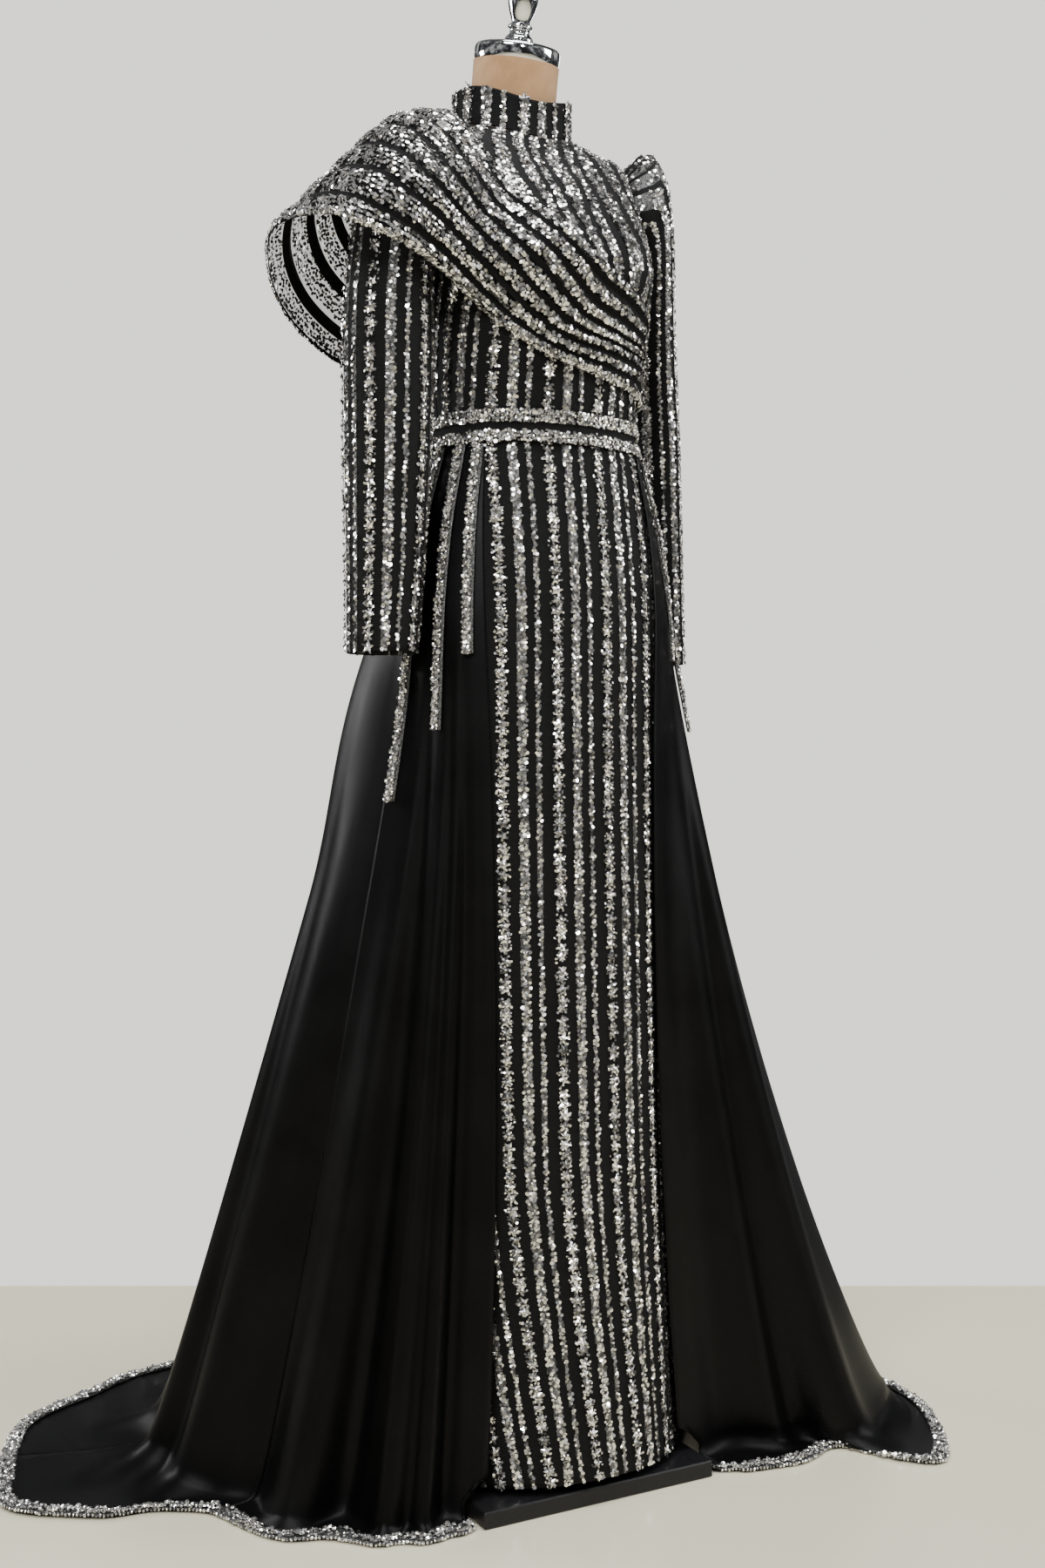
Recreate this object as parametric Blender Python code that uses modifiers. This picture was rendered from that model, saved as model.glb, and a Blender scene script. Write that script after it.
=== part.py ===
"""Evening gown on a limbless dress form.

Frame: metres, +Z up, origin at the centre of the base plate's underside, the wearer
faces -Y and the wearer's left is +X. Every cloth piece is an open surface worked out
from rings or edge curves, then given its wall with Solidify. Surfaces are the outer
side of the cloth, and the wall grows inward.
"""
import bisect
import math
from collections import namedtuple

import bpy
from mathutils import Vector
from mathutils.bvhtree import BVHTree

# ---------------------------------------------------------------- driving dimensions
WALL = 0.0015               # beaded net on its lining, and the satin
BELT_WALL = 0.0020
TRIM_WALL = 0.0015
TRIM_GAP = 0.0005            # between the hem's trim and the satin
SEAM_GAP = 0.0004           # between two pieces that are sewn together
FORM_CLEARANCE = 0.0006     # cloth to the form where it is tight
LOOSE_CLEARANCE = 0.0022    # cloth to the form elsewhere
CHEST_CLEARANCE = 0.0052    # cloth to the form from the bust up
SHOULDER_CLEARANCE = 0.0090
LAY_GAP = 0.0009            # between a piece and the one it lies on
CONTACT_GAP = 0.0003        # hard pieces that touch

PLATE_SIZE = (0.280, 0.310, 0.018)
PLATE_EDGE_RADIUS = 0.0015
POLE_RADIUS = 0.014
POLE_FLANGE_RADIUS = 0.036
POLE_FLANGE_HEIGHT = 0.012
FORM_BOTTOM = 0.800

WAIST_HEIGHT = 1.140
BELT_TOP_LEVEL = 0.28        # on the bodice's rings
BELT_BOTTOM_PLACE = 0.28     # on the column's rings
OVERSKIRT_TOP = 1.1182       # just under the belt
FLOOR_LEVEL = WALL + 0.0002  # outer side of the train on the floor

RING_POWER = 2.2            # 2 is an ellipse, more is squarer
NECK_TILT = math.radians(14.0)
NECK_TOP_HEIGHT = 1.5715
NECK_TOP_Y = 0.037
NECK_TOP_RADIUS = 0.0475
CAP_HEIGHT = 0.020
HEM_TRIM_WIDTH = 0.016
RIBBON_WIDTH = 0.012
RIBBON_WALL = 0.0012
RIBBON_LOOSE = 0.0016         # how much further off the skirt a ribbon's lower end is

COLUMN_STEP = 15            # degrees between columns of the body rings
SLEEVE_COLUMNS = 32
CAPE_PLEATS = 7
CAPE_PLEAT_DEPTH = 0.0050
CAPE_CLEARANCE = 0.0036      # outer side of the bodice to the outer side of the cape
CAPE_SEWN_CLEARANCE = 0.0014 # the same at the two ends, where it is sewn down

COLLECTION_NAME = "evening_gown_on_dress_form"

Ring = namedtuple("Ring", "half_width y_front y_side y_back z_front z_side z_back")
BODY_RINGS = [
    Ring(0.116, -0.095, 0.000, 0.082, 1.140, 1.140, 1.140),  # 0 waist
    Ring(0.119, -0.102, 0.004, 0.086, 1.205, 1.205, 1.205),  # 1 ribs
    Ring(0.123, -0.110, 0.008, 0.093, 1.250, 1.250, 1.250),  # 2 under the bust
    Ring(0.133, -0.129, 0.012, 0.101, 1.312, 1.312, 1.312),  # 3 bust
    Ring(0.136, -0.112, 0.020, 0.108, 1.360, 1.360, 1.360),  # 4 armpit
    Ring(0.135, -0.078, 0.030, 0.112, 1.405, 1.412, 1.415),  # 5 upper chest
    Ring(0.134, -0.040, 0.040, 0.111, 1.438, 1.460, 1.457),  # 6 shoulder point
    Ring(0.100, -0.021, 0.046, 0.110, 1.455, 1.478, 1.481),  # 7 mid shoulder
    Ring(0.068, -0.010, 0.049, 0.107, 1.475, 1.490, 1.497),  # 8 base of the neck
]
SKIRT_RINGS = [
    Ring(0.116, -0.095, 0.000, 0.082, 1.1396, 1.1396, 1.1396),  # 0 waist
    Ring(0.137, -0.110, 0.000, 0.104, 1.040, 1.040, 1.040),     # 1 high hip
    Ring(0.150, -0.119, 0.000, 0.120, 0.940, 0.940, 0.940),     # 2 hip
    Ring(0.150, -0.123, -0.002, 0.124, 0.740, 0.740, 0.740),    # 3 thigh
    Ring(0.148, -0.134, -0.005, 0.130, 0.440, 0.440, 0.440),    # 4 knee
    Ring(0.149, -0.147, -0.008, 0.138, 0.200, 0.200, 0.200),    # 5 calf
    Ring(0.151, -0.160, -0.010, 0.142, 0.028, 0.0215, 0.0215),  # 6 hem
]
NECK_RINGS = [
    Ring(0.088, -0.002, 0.048, 0.096, 1.450, 1.468, 1.470),
    Ring(0.058, 0.004, 0.051, 0.097, 1.466, 1.478, 1.484),
    Ring(0.050, 0.006, 0.051, 0.096, 1.488, 1.498, 1.503),
]
COLLAR_RINGS = [
    Ring(0.0670, -0.0105, 0.0480, 0.1060, 1.4950, 1.5140, 1.5305),
    Ring(0.0670, -0.0125, 0.0465, 0.1050, 1.5145, 1.5340, 1.5600),
]
BODICE_LEVELS_BELOW_ARMHOLE = [0.0, BELT_TOP_LEVEL, 1.0, 2.0, 3.0, 3.6]
ARMHOLE_LEVEL = 5.0          # centre of the armhole, in ring numbers
ARMHOLE_HALF_ANGLE = 25.0    # degrees to each side of the side line
BUST_FULLNESS = 0.004        # how far the two cups stand out
BUST_ANGLE = 30.0

# Sleeve sections: inner and outer point (across, height), middle and half depth front to
# back, and how strongly it is gathered. The arm side is first, the cuff is last.
SleeveRing = namedtuple("SleeveRing", "inner_x inner_z outer_x outer_z y half_y gather")
SLEEVE_LEFT = [
    SleeveRing(0.1400, 1.362, 0.1440, 1.474, 0.022, 0.054, 1.0),
    SleeveRing(0.1420, 1.350, 0.1600, 1.487, 0.022, 0.054, 1.0),
    SleeveRing(0.1425, 1.335, 0.1740, 1.462, 0.022, 0.053, 0.8),
    SleeveRing(0.1425, 1.310, 0.1820, 1.410, 0.023, 0.053, 0.3),
    SleeveRing(0.1415, 1.275, 0.1880, 1.345, 0.027, 0.053, 0.0),
    SleeveRing(0.1430, 1.235, 0.1925, 1.255, 0.030, 0.053, 0.0),
    SleeveRing(0.1500, 1.130, 0.2000, 1.140, 0.032, 0.052, 0.0),
    SleeveRing(0.1570, 1.005, 0.2060, 1.010, 0.034, 0.050, 0.0),
    SleeveRing(0.1660, 0.894, 0.2110, 0.894, 0.033, 0.045, 0.0),
]
SLEEVE_RIGHT = [
    SleeveRing(0.1400, 1.362, 0.1440, 1.460, 0.020, 0.054, 1.0),
    SleeveRing(0.1430, 1.350, 0.1620, 1.460, 0.014, 0.054, 1.0),
    SleeveRing(0.1440, 1.335, 0.1840, 1.440, 0.004, 0.054, 0.8),
    SleeveRing(0.1440, 1.310, 0.2050, 1.398, -0.010, 0.054, 0.3),
    SleeveRing(0.1435, 1.275, 0.2230, 1.335, -0.022, 0.053, 0.0),
    SleeveRing(0.1435, 1.225, 0.2350, 1.250, -0.030, 0.052, 0.0),
    SleeveRing(0.1460, 1.120, 0.2360, 1.130, -0.032, 0.050, 0.0),
    SleeveRing(0.1530, 1.003, 0.2350, 1.007, -0.033, 0.046, 0.0),
    SleeveRing(0.1630, 0.894, 0.2350, 0.894, -0.034, 0.042, 0.0),
]
SLEEVE_GATHERS = 12          # round the whole armhole; the outer half shows six
SLEEVE_GATHER_DEPTH = 0.0022

# The cape lies on the bodice at its two ends: ring level and angle of each edge, and
# how far the inner edge, the middle and the outer edge stand off the bodice.
LyingStation = namedtuple(
    "LyingStation", "inner_level inner_angle outer_level outer_angle lift_in lift_mid lift_out")
CAPE_FRONT_LYING = [
    LyingStation(2.30, 87, 0.55, 87, 0.0014, 0.0020, 0.0014),
    LyingStation(2.40, 47, 0.72, 45, 0.0036, 0.0055, 0.0038),
    LyingStation(2.85, 11, 1.10, -17, 0.0036, 0.0065, 0.0042),
    LyingStation(3.50, -10, 2.20, -51, 0.0040, 0.0080, 0.0060),
]
CAPE_BACK_LYING = [
    LyingStation(4.20, 170, 1.30, 196, 0.0100, 0.0200, 0.0360),
    LyingStation(3.20, 140, 0.90, 150, 0.0060, 0.0110, 0.0150),
    LyingStation(2.30, 103, 0.55, 103, 0.0020, 0.0028, 0.0020),
]
# Over the arm it stands free: four points from the inner edge to the outer edge.
CAPE_FRONT_FREE = [
    ((-0.062, -0.087, 1.380), (-0.100, -0.098, 1.356), (-0.137, -0.101, 1.326), (-0.172, -0.094, 1.294)),
    ((-0.080, -0.060, 1.418), (-0.132, -0.090, 1.396), (-0.184, -0.106, 1.358), (-0.232, -0.104, 1.312)),
    ((-0.096, -0.028, 1.460), (-0.156, -0.056, 1.446), (-0.222, -0.082, 1.389), (-0.282, -0.078, 1.329)),
]
CAPE_CREST = (
    (-0.088, 0.032, 1.498), (-0.153, 0.030, 1.481), (-0.219, 0.024, 1.419), (-0.304, 0.010, 1.332))
CAPE_BACK_FREE = [
    ((-0.084, 0.088, 1.496), (-0.148, 0.090, 1.467), (-0.216, 0.094, 1.394), (-0.272, 0.091, 1.297)),
    ((-0.058, 0.118, 1.476), (-0.122, 0.134, 1.434), (-0.176, 0.146, 1.350), (-0.212, 0.150, 1.263)),
    ((-0.020, 0.126, 1.428), (-0.064, 0.144, 1.376), (-0.104, 0.157, 1.306), (-0.134, 0.165, 1.232)),
]
CAPE_CREST_SEAM = 10         # the station where the front and back parts meet
CAPE_SEAM_SHARE = 0.0042     # half the seam's width as a share of a station

# The overskirt from its front edge on the wearer's right, round the back, to its front
# edge on the left. waist_angle is measured on the waist; touch is where the cloth meets
# the floor and hem is where it ends; flare 1 is a straight line down, less hangs first and
# flares later.
Gore = namedtuple("Gore", "at waist_angle touch hem flare")
OVERSKIRT = [
    Gore(0.00, -55, (-0.125, -0.125), (-0.142, -0.147), 0.80),
    Gore(0.05, -58, (-0.168, -0.124), (-0.178, -0.158), 0.80),
    Gore(0.10, -62, (-0.200, -0.118), (-0.216, -0.146), 0.80),
    Gore(0.15, -67, (-0.243, -0.092), (-0.267, -0.119), 0.80),
    Gore(0.20, -73, (-0.285, -0.056), (-0.318, -0.084), 0.82),
    Gore(0.25, -80, (-0.325, -0.010), (-0.366, -0.004), 0.84),
    Gore(0.30, -87, (-0.350, 0.056), (-0.414, 0.046), 0.97),
    Gore(0.34, -96, (-0.368, 0.100), (-0.470, 0.062), 1.00),
    Gore(0.38, -105, (-0.376, 0.137), (-0.532, 0.102), 1.00),
    Gore(0.41, -112, (-0.374, 0.170), (-0.551, 0.165), 1.00),
    Gore(0.45, -122, (-0.354, 0.214), (-0.518, 0.290), 1.00),
    Gore(0.50, -136, (-0.308, 0.280), (-0.430, 0.392), 0.94),
    Gore(0.56, -153, (-0.215, 0.360), (-0.270, 0.460), 0.78),
    Gore(0.62, -171, (-0.090, 0.405), (-0.110, 0.520), 0.74),
    Gore(0.68, -190, (0.050, 0.405), (0.060, 0.530), 0.68),
    Gore(0.74, -209, (0.190, 0.365), (0.215, 0.490), 0.64),
    Gore(0.79, -227, (0.305, 0.290), (0.345, 0.405), 0.60),
    Gore(0.84, -246, (0.382, 0.178), (0.440, 0.270), 0.66),
    Gore(0.88, -262, (0.431, 0.042), (0.486, 0.070), 0.70),
    Gore(0.91, -273, (0.413, -0.076), (0.464, -0.118), 0.77),
    Gore(0.935, -282, (0.351, -0.156), (0.387, -0.245), 0.79),
    Gore(0.955, -290, (0.274, -0.124), (0.306, -0.160), 0.80),
    Gore(0.975, -297, (0.205, -0.116), (0.232, -0.178), 0.82),
    Gore(1.00, -306, (0.110, -0.108), (0.1530, -0.150), 0.86),
]
OVERSKIRT_SEAMS = [0.0, 0.267, 0.44, 0.5725, 0.768, 0.878, 1.0]
OVERSKIRT_PANELS = [         # with their columns
    ("right_front", 18), ("right_side", 11), ("back_right", 9),
    ("back_left", 13), ("left_side", 11), ("left_front", 14),
]
OVERSKIRT_DROPS = [0.0, 0.05, 0.11, 0.18, 0.27, 0.37, 0.48, 0.59, 0.70, 0.80, 0.89, 0.955, 1.0]
FLOOR_SHARES = [0.45]        # rows between the touch line and the hem trim
HIP_CLEARANCE = 0.0034       # outer side of the column to the outer side of the overskirt
TOUCH_SOFTNESS = 0.020       # rounding of the bend onto the floor where little cloth lies there
TRAIN_SOFTNESS = 0.22        # and what each metre of lying cloth adds to it
MOST_SOFTNESS = 0.055
PLATE_MARGIN = 0.0075        # the front edges fall to the floor this far beside the base plate
PLATE_SLOPE = 0.0225         # and lean in by this much on the way up from LOW_HEIGHT to FREE_HEIGHT
LOW_HEIGHT = 0.021
FREE_HEIGHT = 0.044
HIP_FULLNESS = 0.016         # the cloth stands out by this much over the right hip
HIP_PLACE = 0.42
HIP_SPAN = 0.14
HIP_DROP = 0.24
HIP_DEPTH = 0.20
RIGHT_LAP_END = 0.05         # the front edges swing forward over the column: on the right up to
RIGHT_LAP_DEGREES = 6.0      # this place, and on the left from LEFT_LAP_START on
LEFT_LAP_START = 0.93
LEFT_LAP_DEGREES = 11.0
FOLD_FADE = 0.6              # share of a fold that is gone at the hem

# Soft folds of the overskirt: place along the waist-to-hem lines, half width, depth at
# the floor, and the share of the drop above which there is none.
Fold = namedtuple("Fold", "at half_width depth start")
FOLDS = [
    Fold(0.012, 0.016, 0.005, 0.15),
    Fold(0.050, 0.022, -0.012, 0.20),
    Fold(0.090, 0.026, 0.012, 0.15),
    Fold(0.130, 0.024, 0.018, 0.20),
    Fold(0.176, 0.030, -0.020, 0.10),
    Fold(0.218, 0.034, 0.020, 0.35),
    Fold(0.266, 0.028, -0.018, 0.45),
    Fold(0.332, 0.046, 0.018, 0.30),
    Fold(0.395, 0.038, 0.022, 0.15),
    Fold(0.475, 0.034, 0.024, 0.20),
    Fold(0.540, 0.034, 0.030, 0.10),
    Fold(0.605, 0.034, 0.026, 0.15),
    Fold(0.670, 0.034, 0.030, 0.10),
    Fold(0.735, 0.034, 0.026, 0.15),
    Fold(0.800, 0.034, 0.028, 0.10),
    Fold(0.852, 0.026, 0.022, 0.20),
    Fold(0.904, 0.026, 0.034, 0.30),
    Fold(0.942, 0.013, 0.014, 0.20),
    Fold(0.953, 0.009, -0.007, 0.25),
    Fold(0.963, 0.010, 0.010, 0.15),
    Fold(0.978, 0.012, -0.010, 0.15),
    Fold(0.992, 0.012, 0.006, 0.10),
]

# Hanging beaded ribbons: place on the overskirt's lines and lower end.
Ribbon = namedtuple("Ribbon", "name at bottom")
RIBBONS = [
    Ribbon("ribbon_right_1", 0.042, 0.893),
    Ribbon("ribbon_right_2", 0.150, 0.813),
    Ribbon("ribbon_right_3", 0.252, 0.737),
    Ribbon("ribbon_left_1", 0.962, 0.893),
    Ribbon("ribbon_left_2", 0.930, 0.813),
    Ribbon("ribbon_left_3", 0.865, 0.737),
]

# Turned profiles: (radius, height), top to bottom.
FINIAL_PROFILE = [
    (0.0000, 0.0800), (0.0060, 0.0792), (0.0110, 0.0762), (0.0140, 0.0715), (0.0148, 0.0660),
    (0.0160, 0.0600), (0.0172, 0.0520), (0.0165, 0.0430), (0.0140, 0.0340), (0.0112, 0.0270),
    (0.0105, 0.0230), (0.0135, 0.0205), (0.0140, 0.0180), (0.0120, 0.0155), (0.0115, 0.0120),
    (0.0140, 0.0090), (0.0162, 0.0060), (0.0165, 0.0030), (0.0160, 0.0000), (0.0000, 0.0000),
]
CAP_PROFILE = [
    (0.0000, 0.0200), (0.0200, 0.0198), (0.0440, 0.0180), (0.0478, 0.0160), (0.0488, 0.0130),
    (0.0488, 0.0060), (0.0482, 0.0020), (0.0474, 0.0000), (0.0000, 0.0000),
]

MATERIALS = {
    "beaded_net": ((0.30, 0.30, 0.31), 0.35, 0.6),
    "satin": ((0.012, 0.012, 0.013), 0.35, 0.0),
    "beaded_trim": ((0.55, 0.55, 0.56), 0.30, 0.7),
    "linen": ((0.62, 0.47, 0.32), 0.85, 0.0),
    "chrome": ((0.82, 0.82, 0.83), 0.08, 1.0),
    "black_steel": ((0.012, 0.012, 0.012), 0.40, 0.0),
}


# ---------------------------------------------------------------- numbers and curves
def catmull(before, start, end, after, share):
    """Smooth value between start and end."""
    square, cube = share * share, share ** 3
    return 0.5 * (2 * start + (end - before) * share
                  + (2 * before - 5 * start + 4 * end - after) * square
                  + (3 * start - before - 3 * end + after) * cube)


def blend_rows(rows, place):
    """Smooth row of numbers between whole rows; place counts rows from 0."""
    last = len(rows) - 1
    index = max(0, min(last - 1, int(math.floor(place))))
    share = place - index
    before, after = rows[max(0, index - 1)], rows[min(last, index + 2)]
    start, end = rows[index], rows[index + 1]
    return [catmull(a, b, c, d, share) for a, b, c, d in zip(before, start, end, after)]


def smooth_max(first, second, softness):
    """The larger of two numbers, rounded where they are alike."""
    return 0.5 * (first + second + math.sqrt((first - second) ** 2 + softness ** 2))


def bump(offset, half_width):
    """A raised cosine: 1 in the middle, 0 at half_width and beyond."""
    if abs(offset) >= half_width:
        return 0.0
    return 0.5 + 0.5 * math.cos(math.pi * offset / half_width)


# ---------------------------------------------------------------- body and column rings
def ring_radius(ring, angle):
    """Distance from the ring's centre to its line; angle 0 is the front."""
    front = math.cos(angle) > 0
    depth = ring.y_side - ring.y_front if front else ring.y_back - ring.y_side
    across = abs(math.sin(angle)) / ring.half_width
    along = abs(math.cos(angle)) / depth
    return (across ** RING_POWER + along ** RING_POWER) ** (-1.0 / RING_POWER)


def ring_point(ring, angle, grow=0.0):
    """Point of a ring, moved out by grow in the ring's plane."""
    reach = ring_radius(ring, angle) + grow
    end_z = ring.z_front if math.cos(angle) > 0 else ring.z_back
    height = ring.z_side + (end_z - ring.z_side) * math.cos(angle) ** 2
    return Vector((reach * math.sin(angle), ring.y_side - reach * math.cos(angle), height))


def blended(rings, place):
    return Ring(*blend_rows(rings, place))


def body_point(level, degrees, grow=0.0):
    ring = blended(BODY_RINGS, level)
    cup = BUST_FULLNESS * bump(level - 3.0, 1.5)
    cup *= bump(abs(degrees) - BUST_ANGLE, 28.0)
    return ring_point(ring, math.radians(degrees), grow + cup)


def body_normal(level, degrees):
    step = 0.02
    up = body_point(min(8, level + step), degrees) - body_point(max(0, level - step), degrees)
    round_about = body_point(level, degrees + 1) - body_point(level, degrees - 1)
    return round_about.cross(up).normalized()


def on_body(level, degrees, lift):
    """Point that stands lift off the bodice's outer side."""
    return body_point(level, degrees) + body_normal(level, degrees) * lift


def skirt_ring(height):
    """Ring of the column at a height, from its side heights."""
    heights = [-ring.z_side for ring in SKIRT_RINGS]
    index = max(0, min(len(heights) - 2, bisect.bisect(heights, -height) - 1))
    upper, lower = SKIRT_RINGS[index].z_side, SKIRT_RINGS[index + 1].z_side
    share = max(0.0, min(1.0, (upper - height) / (upper - lower)))
    return blended(SKIRT_RINGS, index + share)._replace(z_front=height, z_side=height, z_back=height)


# ---------------------------------------------------------------- objects
def make_material(name):
    colour, roughness, metallic = MATERIALS[name]
    material = bpy.data.materials.new(name)
    material.use_nodes = True
    shader = material.node_tree.nodes["Principled BSDF"]
    shader.inputs["Base Color"].default_value = (*colour, 1.0)
    shader.inputs["Roughness"].default_value = roughness
    shader.inputs["Metallic"].default_value = metallic
    return material


def add_object(name, mesh, material_name, collection):
    part = bpy.data.objects.new(name, mesh)
    mesh.materials.append(make_material(material_name))
    collection.objects.link(part)
    return part


def add_sheet(name, rows, material_name, collection, wall=WALL, closed=False):
    """Cloth from rows of outer points: columns run towards +X at the front, rows run up."""
    count = len(rows[0])
    points = [point for row in rows for point in row]
    faces = []
    for row in range(len(rows) - 1):
        for column in range(count if closed else count - 1):
            following = (column + 1) % count
            faces.append((row * count + column, row * count + following,
                          (row + 1) * count + following, (row + 1) * count + column))
    mesh = bpy.data.meshes.new(name)
    mesh.from_pydata(points, [], faces)
    mesh.shade_smooth()
    part = add_object(name, mesh, material_name, collection)
    solidify = part.modifiers.new("wall", "SOLIDIFY")
    solidify.thickness = wall
    solidify.offset = -1.0
    return part


def add_loft(name, rows, material_name, collection):
    """Solid through closed rings, rows run up, with flat ends."""
    count = len(rows[0])
    points = [point for row in rows for point in row]
    faces = []
    for row in range(len(rows) - 1):
        for column in range(count):
            following = (column + 1) % count
            faces.append((row * count + column, row * count + following,
                          (row + 1) * count + following, (row + 1) * count + column))
    faces.append(tuple(reversed(range(count))))
    faces.append(tuple(range(len(points) - count, len(points))))
    mesh = bpy.data.meshes.new(name)
    mesh.from_pydata(points, [], faces)
    mesh.shade_smooth()
    mesh.set_sharp_from_angle(angle=math.radians(40))
    return add_object(name, mesh, material_name, collection)


def add_turned(name, profile, sides, material_name, collection, centre, tilt=0.0):
    """Turned solid from a (radius, height) profile that runs from top to bottom."""
    points = [(radius, 0.0, height) for radius, height in profile]
    edges = [(index, index + 1) for index in range(len(points) - 1)]
    mesh = bpy.data.meshes.new(name)
    mesh.from_pydata(points, edges, [])
    part = add_object(name, mesh, material_name, collection)
    part.location = centre
    part.rotation_euler = (tilt, 0.0, 0.0)
    screw = part.modifiers.new("turn", "SCREW")
    screw.steps = sides
    screw.render_steps = sides
    screw.use_merge_vertices = True
    screw.merge_threshold = 0.0001
    screw.use_smooth_shade = True
    return part


# ---------------------------------------------------------------- stand and form
def build_stand(collection):
    width, depth, height = PLATE_SIZE
    bpy.ops.mesh.primitive_cube_add(size=1.0, location=(0.0, 0.0, height / 2))
    plate = bpy.context.active_object
    plate.name = "base_plate"
    plate.data.name = "base_plate"
    for owner in list(plate.users_collection):
        owner.objects.unlink(plate)
    collection.objects.link(plate)
    plate.data.materials.append(make_material("black_steel"))
    plate.scale = PLATE_SIZE
    bpy.context.view_layer.update()
    bpy.ops.object.transform_apply(location=False, rotation=False, scale=True)
    bevel = plate.modifiers.new("edges", "BEVEL")
    bevel.width = PLATE_EDGE_RADIUS
    bevel.segments = 1

    bottom = height + CONTACT_GAP
    top = FORM_BOTTOM - CONTACT_GAP
    pole_profile = [
        (0.0, top), (0.028, top), (0.028, top - 0.006), (POLE_RADIUS, top - 0.010),
        (POLE_RADIUS, bottom + POLE_FLANGE_HEIGHT + 0.006),
        (0.020, bottom + POLE_FLANGE_HEIGHT), (POLE_FLANGE_RADIUS - 0.003, bottom + 0.008),
        (POLE_FLANGE_RADIUS, bottom + 0.005), (POLE_FLANGE_RADIUS, bottom), (0.0, bottom),
    ]
    add_turned("pole", pole_profile, 12, "chrome", collection, (0.0, 0.0, 0.0))


def neck_top_ring():
    rise = NECK_TOP_RADIUS * math.tan(NECK_TILT)
    return Ring(NECK_TOP_RADIUS, NECK_TOP_Y - NECK_TOP_RADIUS, NECK_TOP_Y,
                NECK_TOP_Y + NECK_TOP_RADIUS,
                NECK_TOP_HEIGHT - rise, NECK_TOP_HEIGHT, NECK_TOP_HEIGHT + rise)


def flat_tilted_ring(ring, columns):
    """Ring whose points lie in the plane of the neck's top."""
    points = []
    for degrees in columns:
        point = ring_point(ring, math.radians(degrees))
        point.z = NECK_TOP_HEIGHT + (point.y - NECK_TOP_Y) * math.tan(NECK_TILT)
        points.append(point)
    return points


def build_form(collection):
    columns = range(0, 360, COLUMN_STEP)
    rows = []
    for height in (FORM_BOTTOM, 0.870, 0.940, 1.000, 1.070):
        ring = skirt_ring(height)
        narrowing = 0.012 if height == FORM_BOTTOM else 0.0
        rows.append([ring_point(ring, math.radians(degrees),
                                -WALL - LOOSE_CLEARANCE - narrowing) for degrees in columns])
    tight = WALL + FORM_CLEARANCE
    loose = WALL + LOOSE_CLEARANCE
    chest = WALL + CHEST_CLEARANCE
    shoulder = WALL + SHOULDER_CLEARANCE
    for level, inset in ((0.0, tight), (1.0, loose), (2.0, loose), (3.0, chest), (3.6, chest),
                         (4.3, chest), (5.0, chest), (5.6, shoulder), (6.1, shoulder),
                         (6.6, shoulder)):
        rows.append([on_body(level, degrees - (360 if degrees > 180 else 0), -inset)
                     for degrees in columns])
    for ring in NECK_RINGS:
        rows.append([ring_point(ring, math.radians(degrees)) for degrees in columns])
    rows.append(flat_tilted_ring(neck_top_ring(), columns))
    add_loft("form_torso", rows, "linen", collection)

    axis = Vector((0.0, -math.sin(NECK_TILT), math.cos(NECK_TILT)))
    neck_top = Vector((0.0, NECK_TOP_Y, NECK_TOP_HEIGHT))
    cap_base = neck_top + axis * CONTACT_GAP
    add_turned("neck_cap", CAP_PROFILE, 20, "chrome", collection, cap_base, NECK_TILT)
    finial_base = cap_base + axis * (CAP_HEIGHT + CONTACT_GAP)
    add_turned("finial", FINIAL_PROFILE, 14, "chrome", collection, finial_base, NECK_TILT)


# ---------------------------------------------------------------- bodice, collar, sleeves
def armhole_steps():
    """Angles round half the armhole, from the armpit up to the shoulder, in degrees."""
    step = 360.0 / SLEEVE_COLUMNS * 2
    count = int(round(180.0 / step))
    return [-90.0 + step * index for index in range(count + 1)]


def bodice_levels():
    """Levels of the bodice's rows, each with the side opening angle of the armhole."""
    rows = [(level, 0.0) for level in BODICE_LEVELS_BELOW_ARMHOLE]
    for step in armhole_steps():
        turn = math.radians(step)
        rows.append((ARMHOLE_LEVEL + math.sin(turn), ARMHOLE_HALF_ANGLE * math.cos(turn)))
    rows += [(6.4, 0.0), (7.0, 0.0), (8.0, 0.0)]
    return rows


def seam_degrees(level):
    """Half a seam's width at the side of the body, as an angle."""
    return math.degrees(SEAM_GAP / 2 / blended(BODY_RINGS, level).half_width) + 0.1


def bodice_panel(start, end, opening_at_start, opening_at_end):
    """Rows of a bodice panel between two angles; the armhole cuts into a side line."""
    columns = int(round(abs(end - start) / COLUMN_STEP))
    rows = []
    for level, opening in bodice_levels():
        seam = seam_degrees(level)
        low = start + max(seam, opening if opening_at_start else 0.0)
        high = end - max(seam, opening if opening_at_end else 0.0)
        rows.append([body_point(level, low + (high - low) * column / columns)
                     for column in range(columns + 1)])
    return rows


def armhole_ring(side):
    """The sleeve's first ring, just inside the armhole's edge; side is +1 for the left."""
    inset = SEAM_GAP / 0.05 * 1.6
    steps = SLEEVE_COLUMNS // 2
    corners = []
    for index in range(steps):
        turn = 2 * math.pi * index / steps
        level = ARMHOLE_LEVEL + math.cos(turn) * (1 - inset)
        angle = 90.0 - math.sin(turn) * ARMHOLE_HALF_ANGLE * (1 - inset)
        corners.append(body_point(level, side * angle))
    ring = []
    for index, corner in enumerate(corners):
        ring += [corner, (corner + corners[(index + 1) % steps]) / 2]
    return ring


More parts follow.
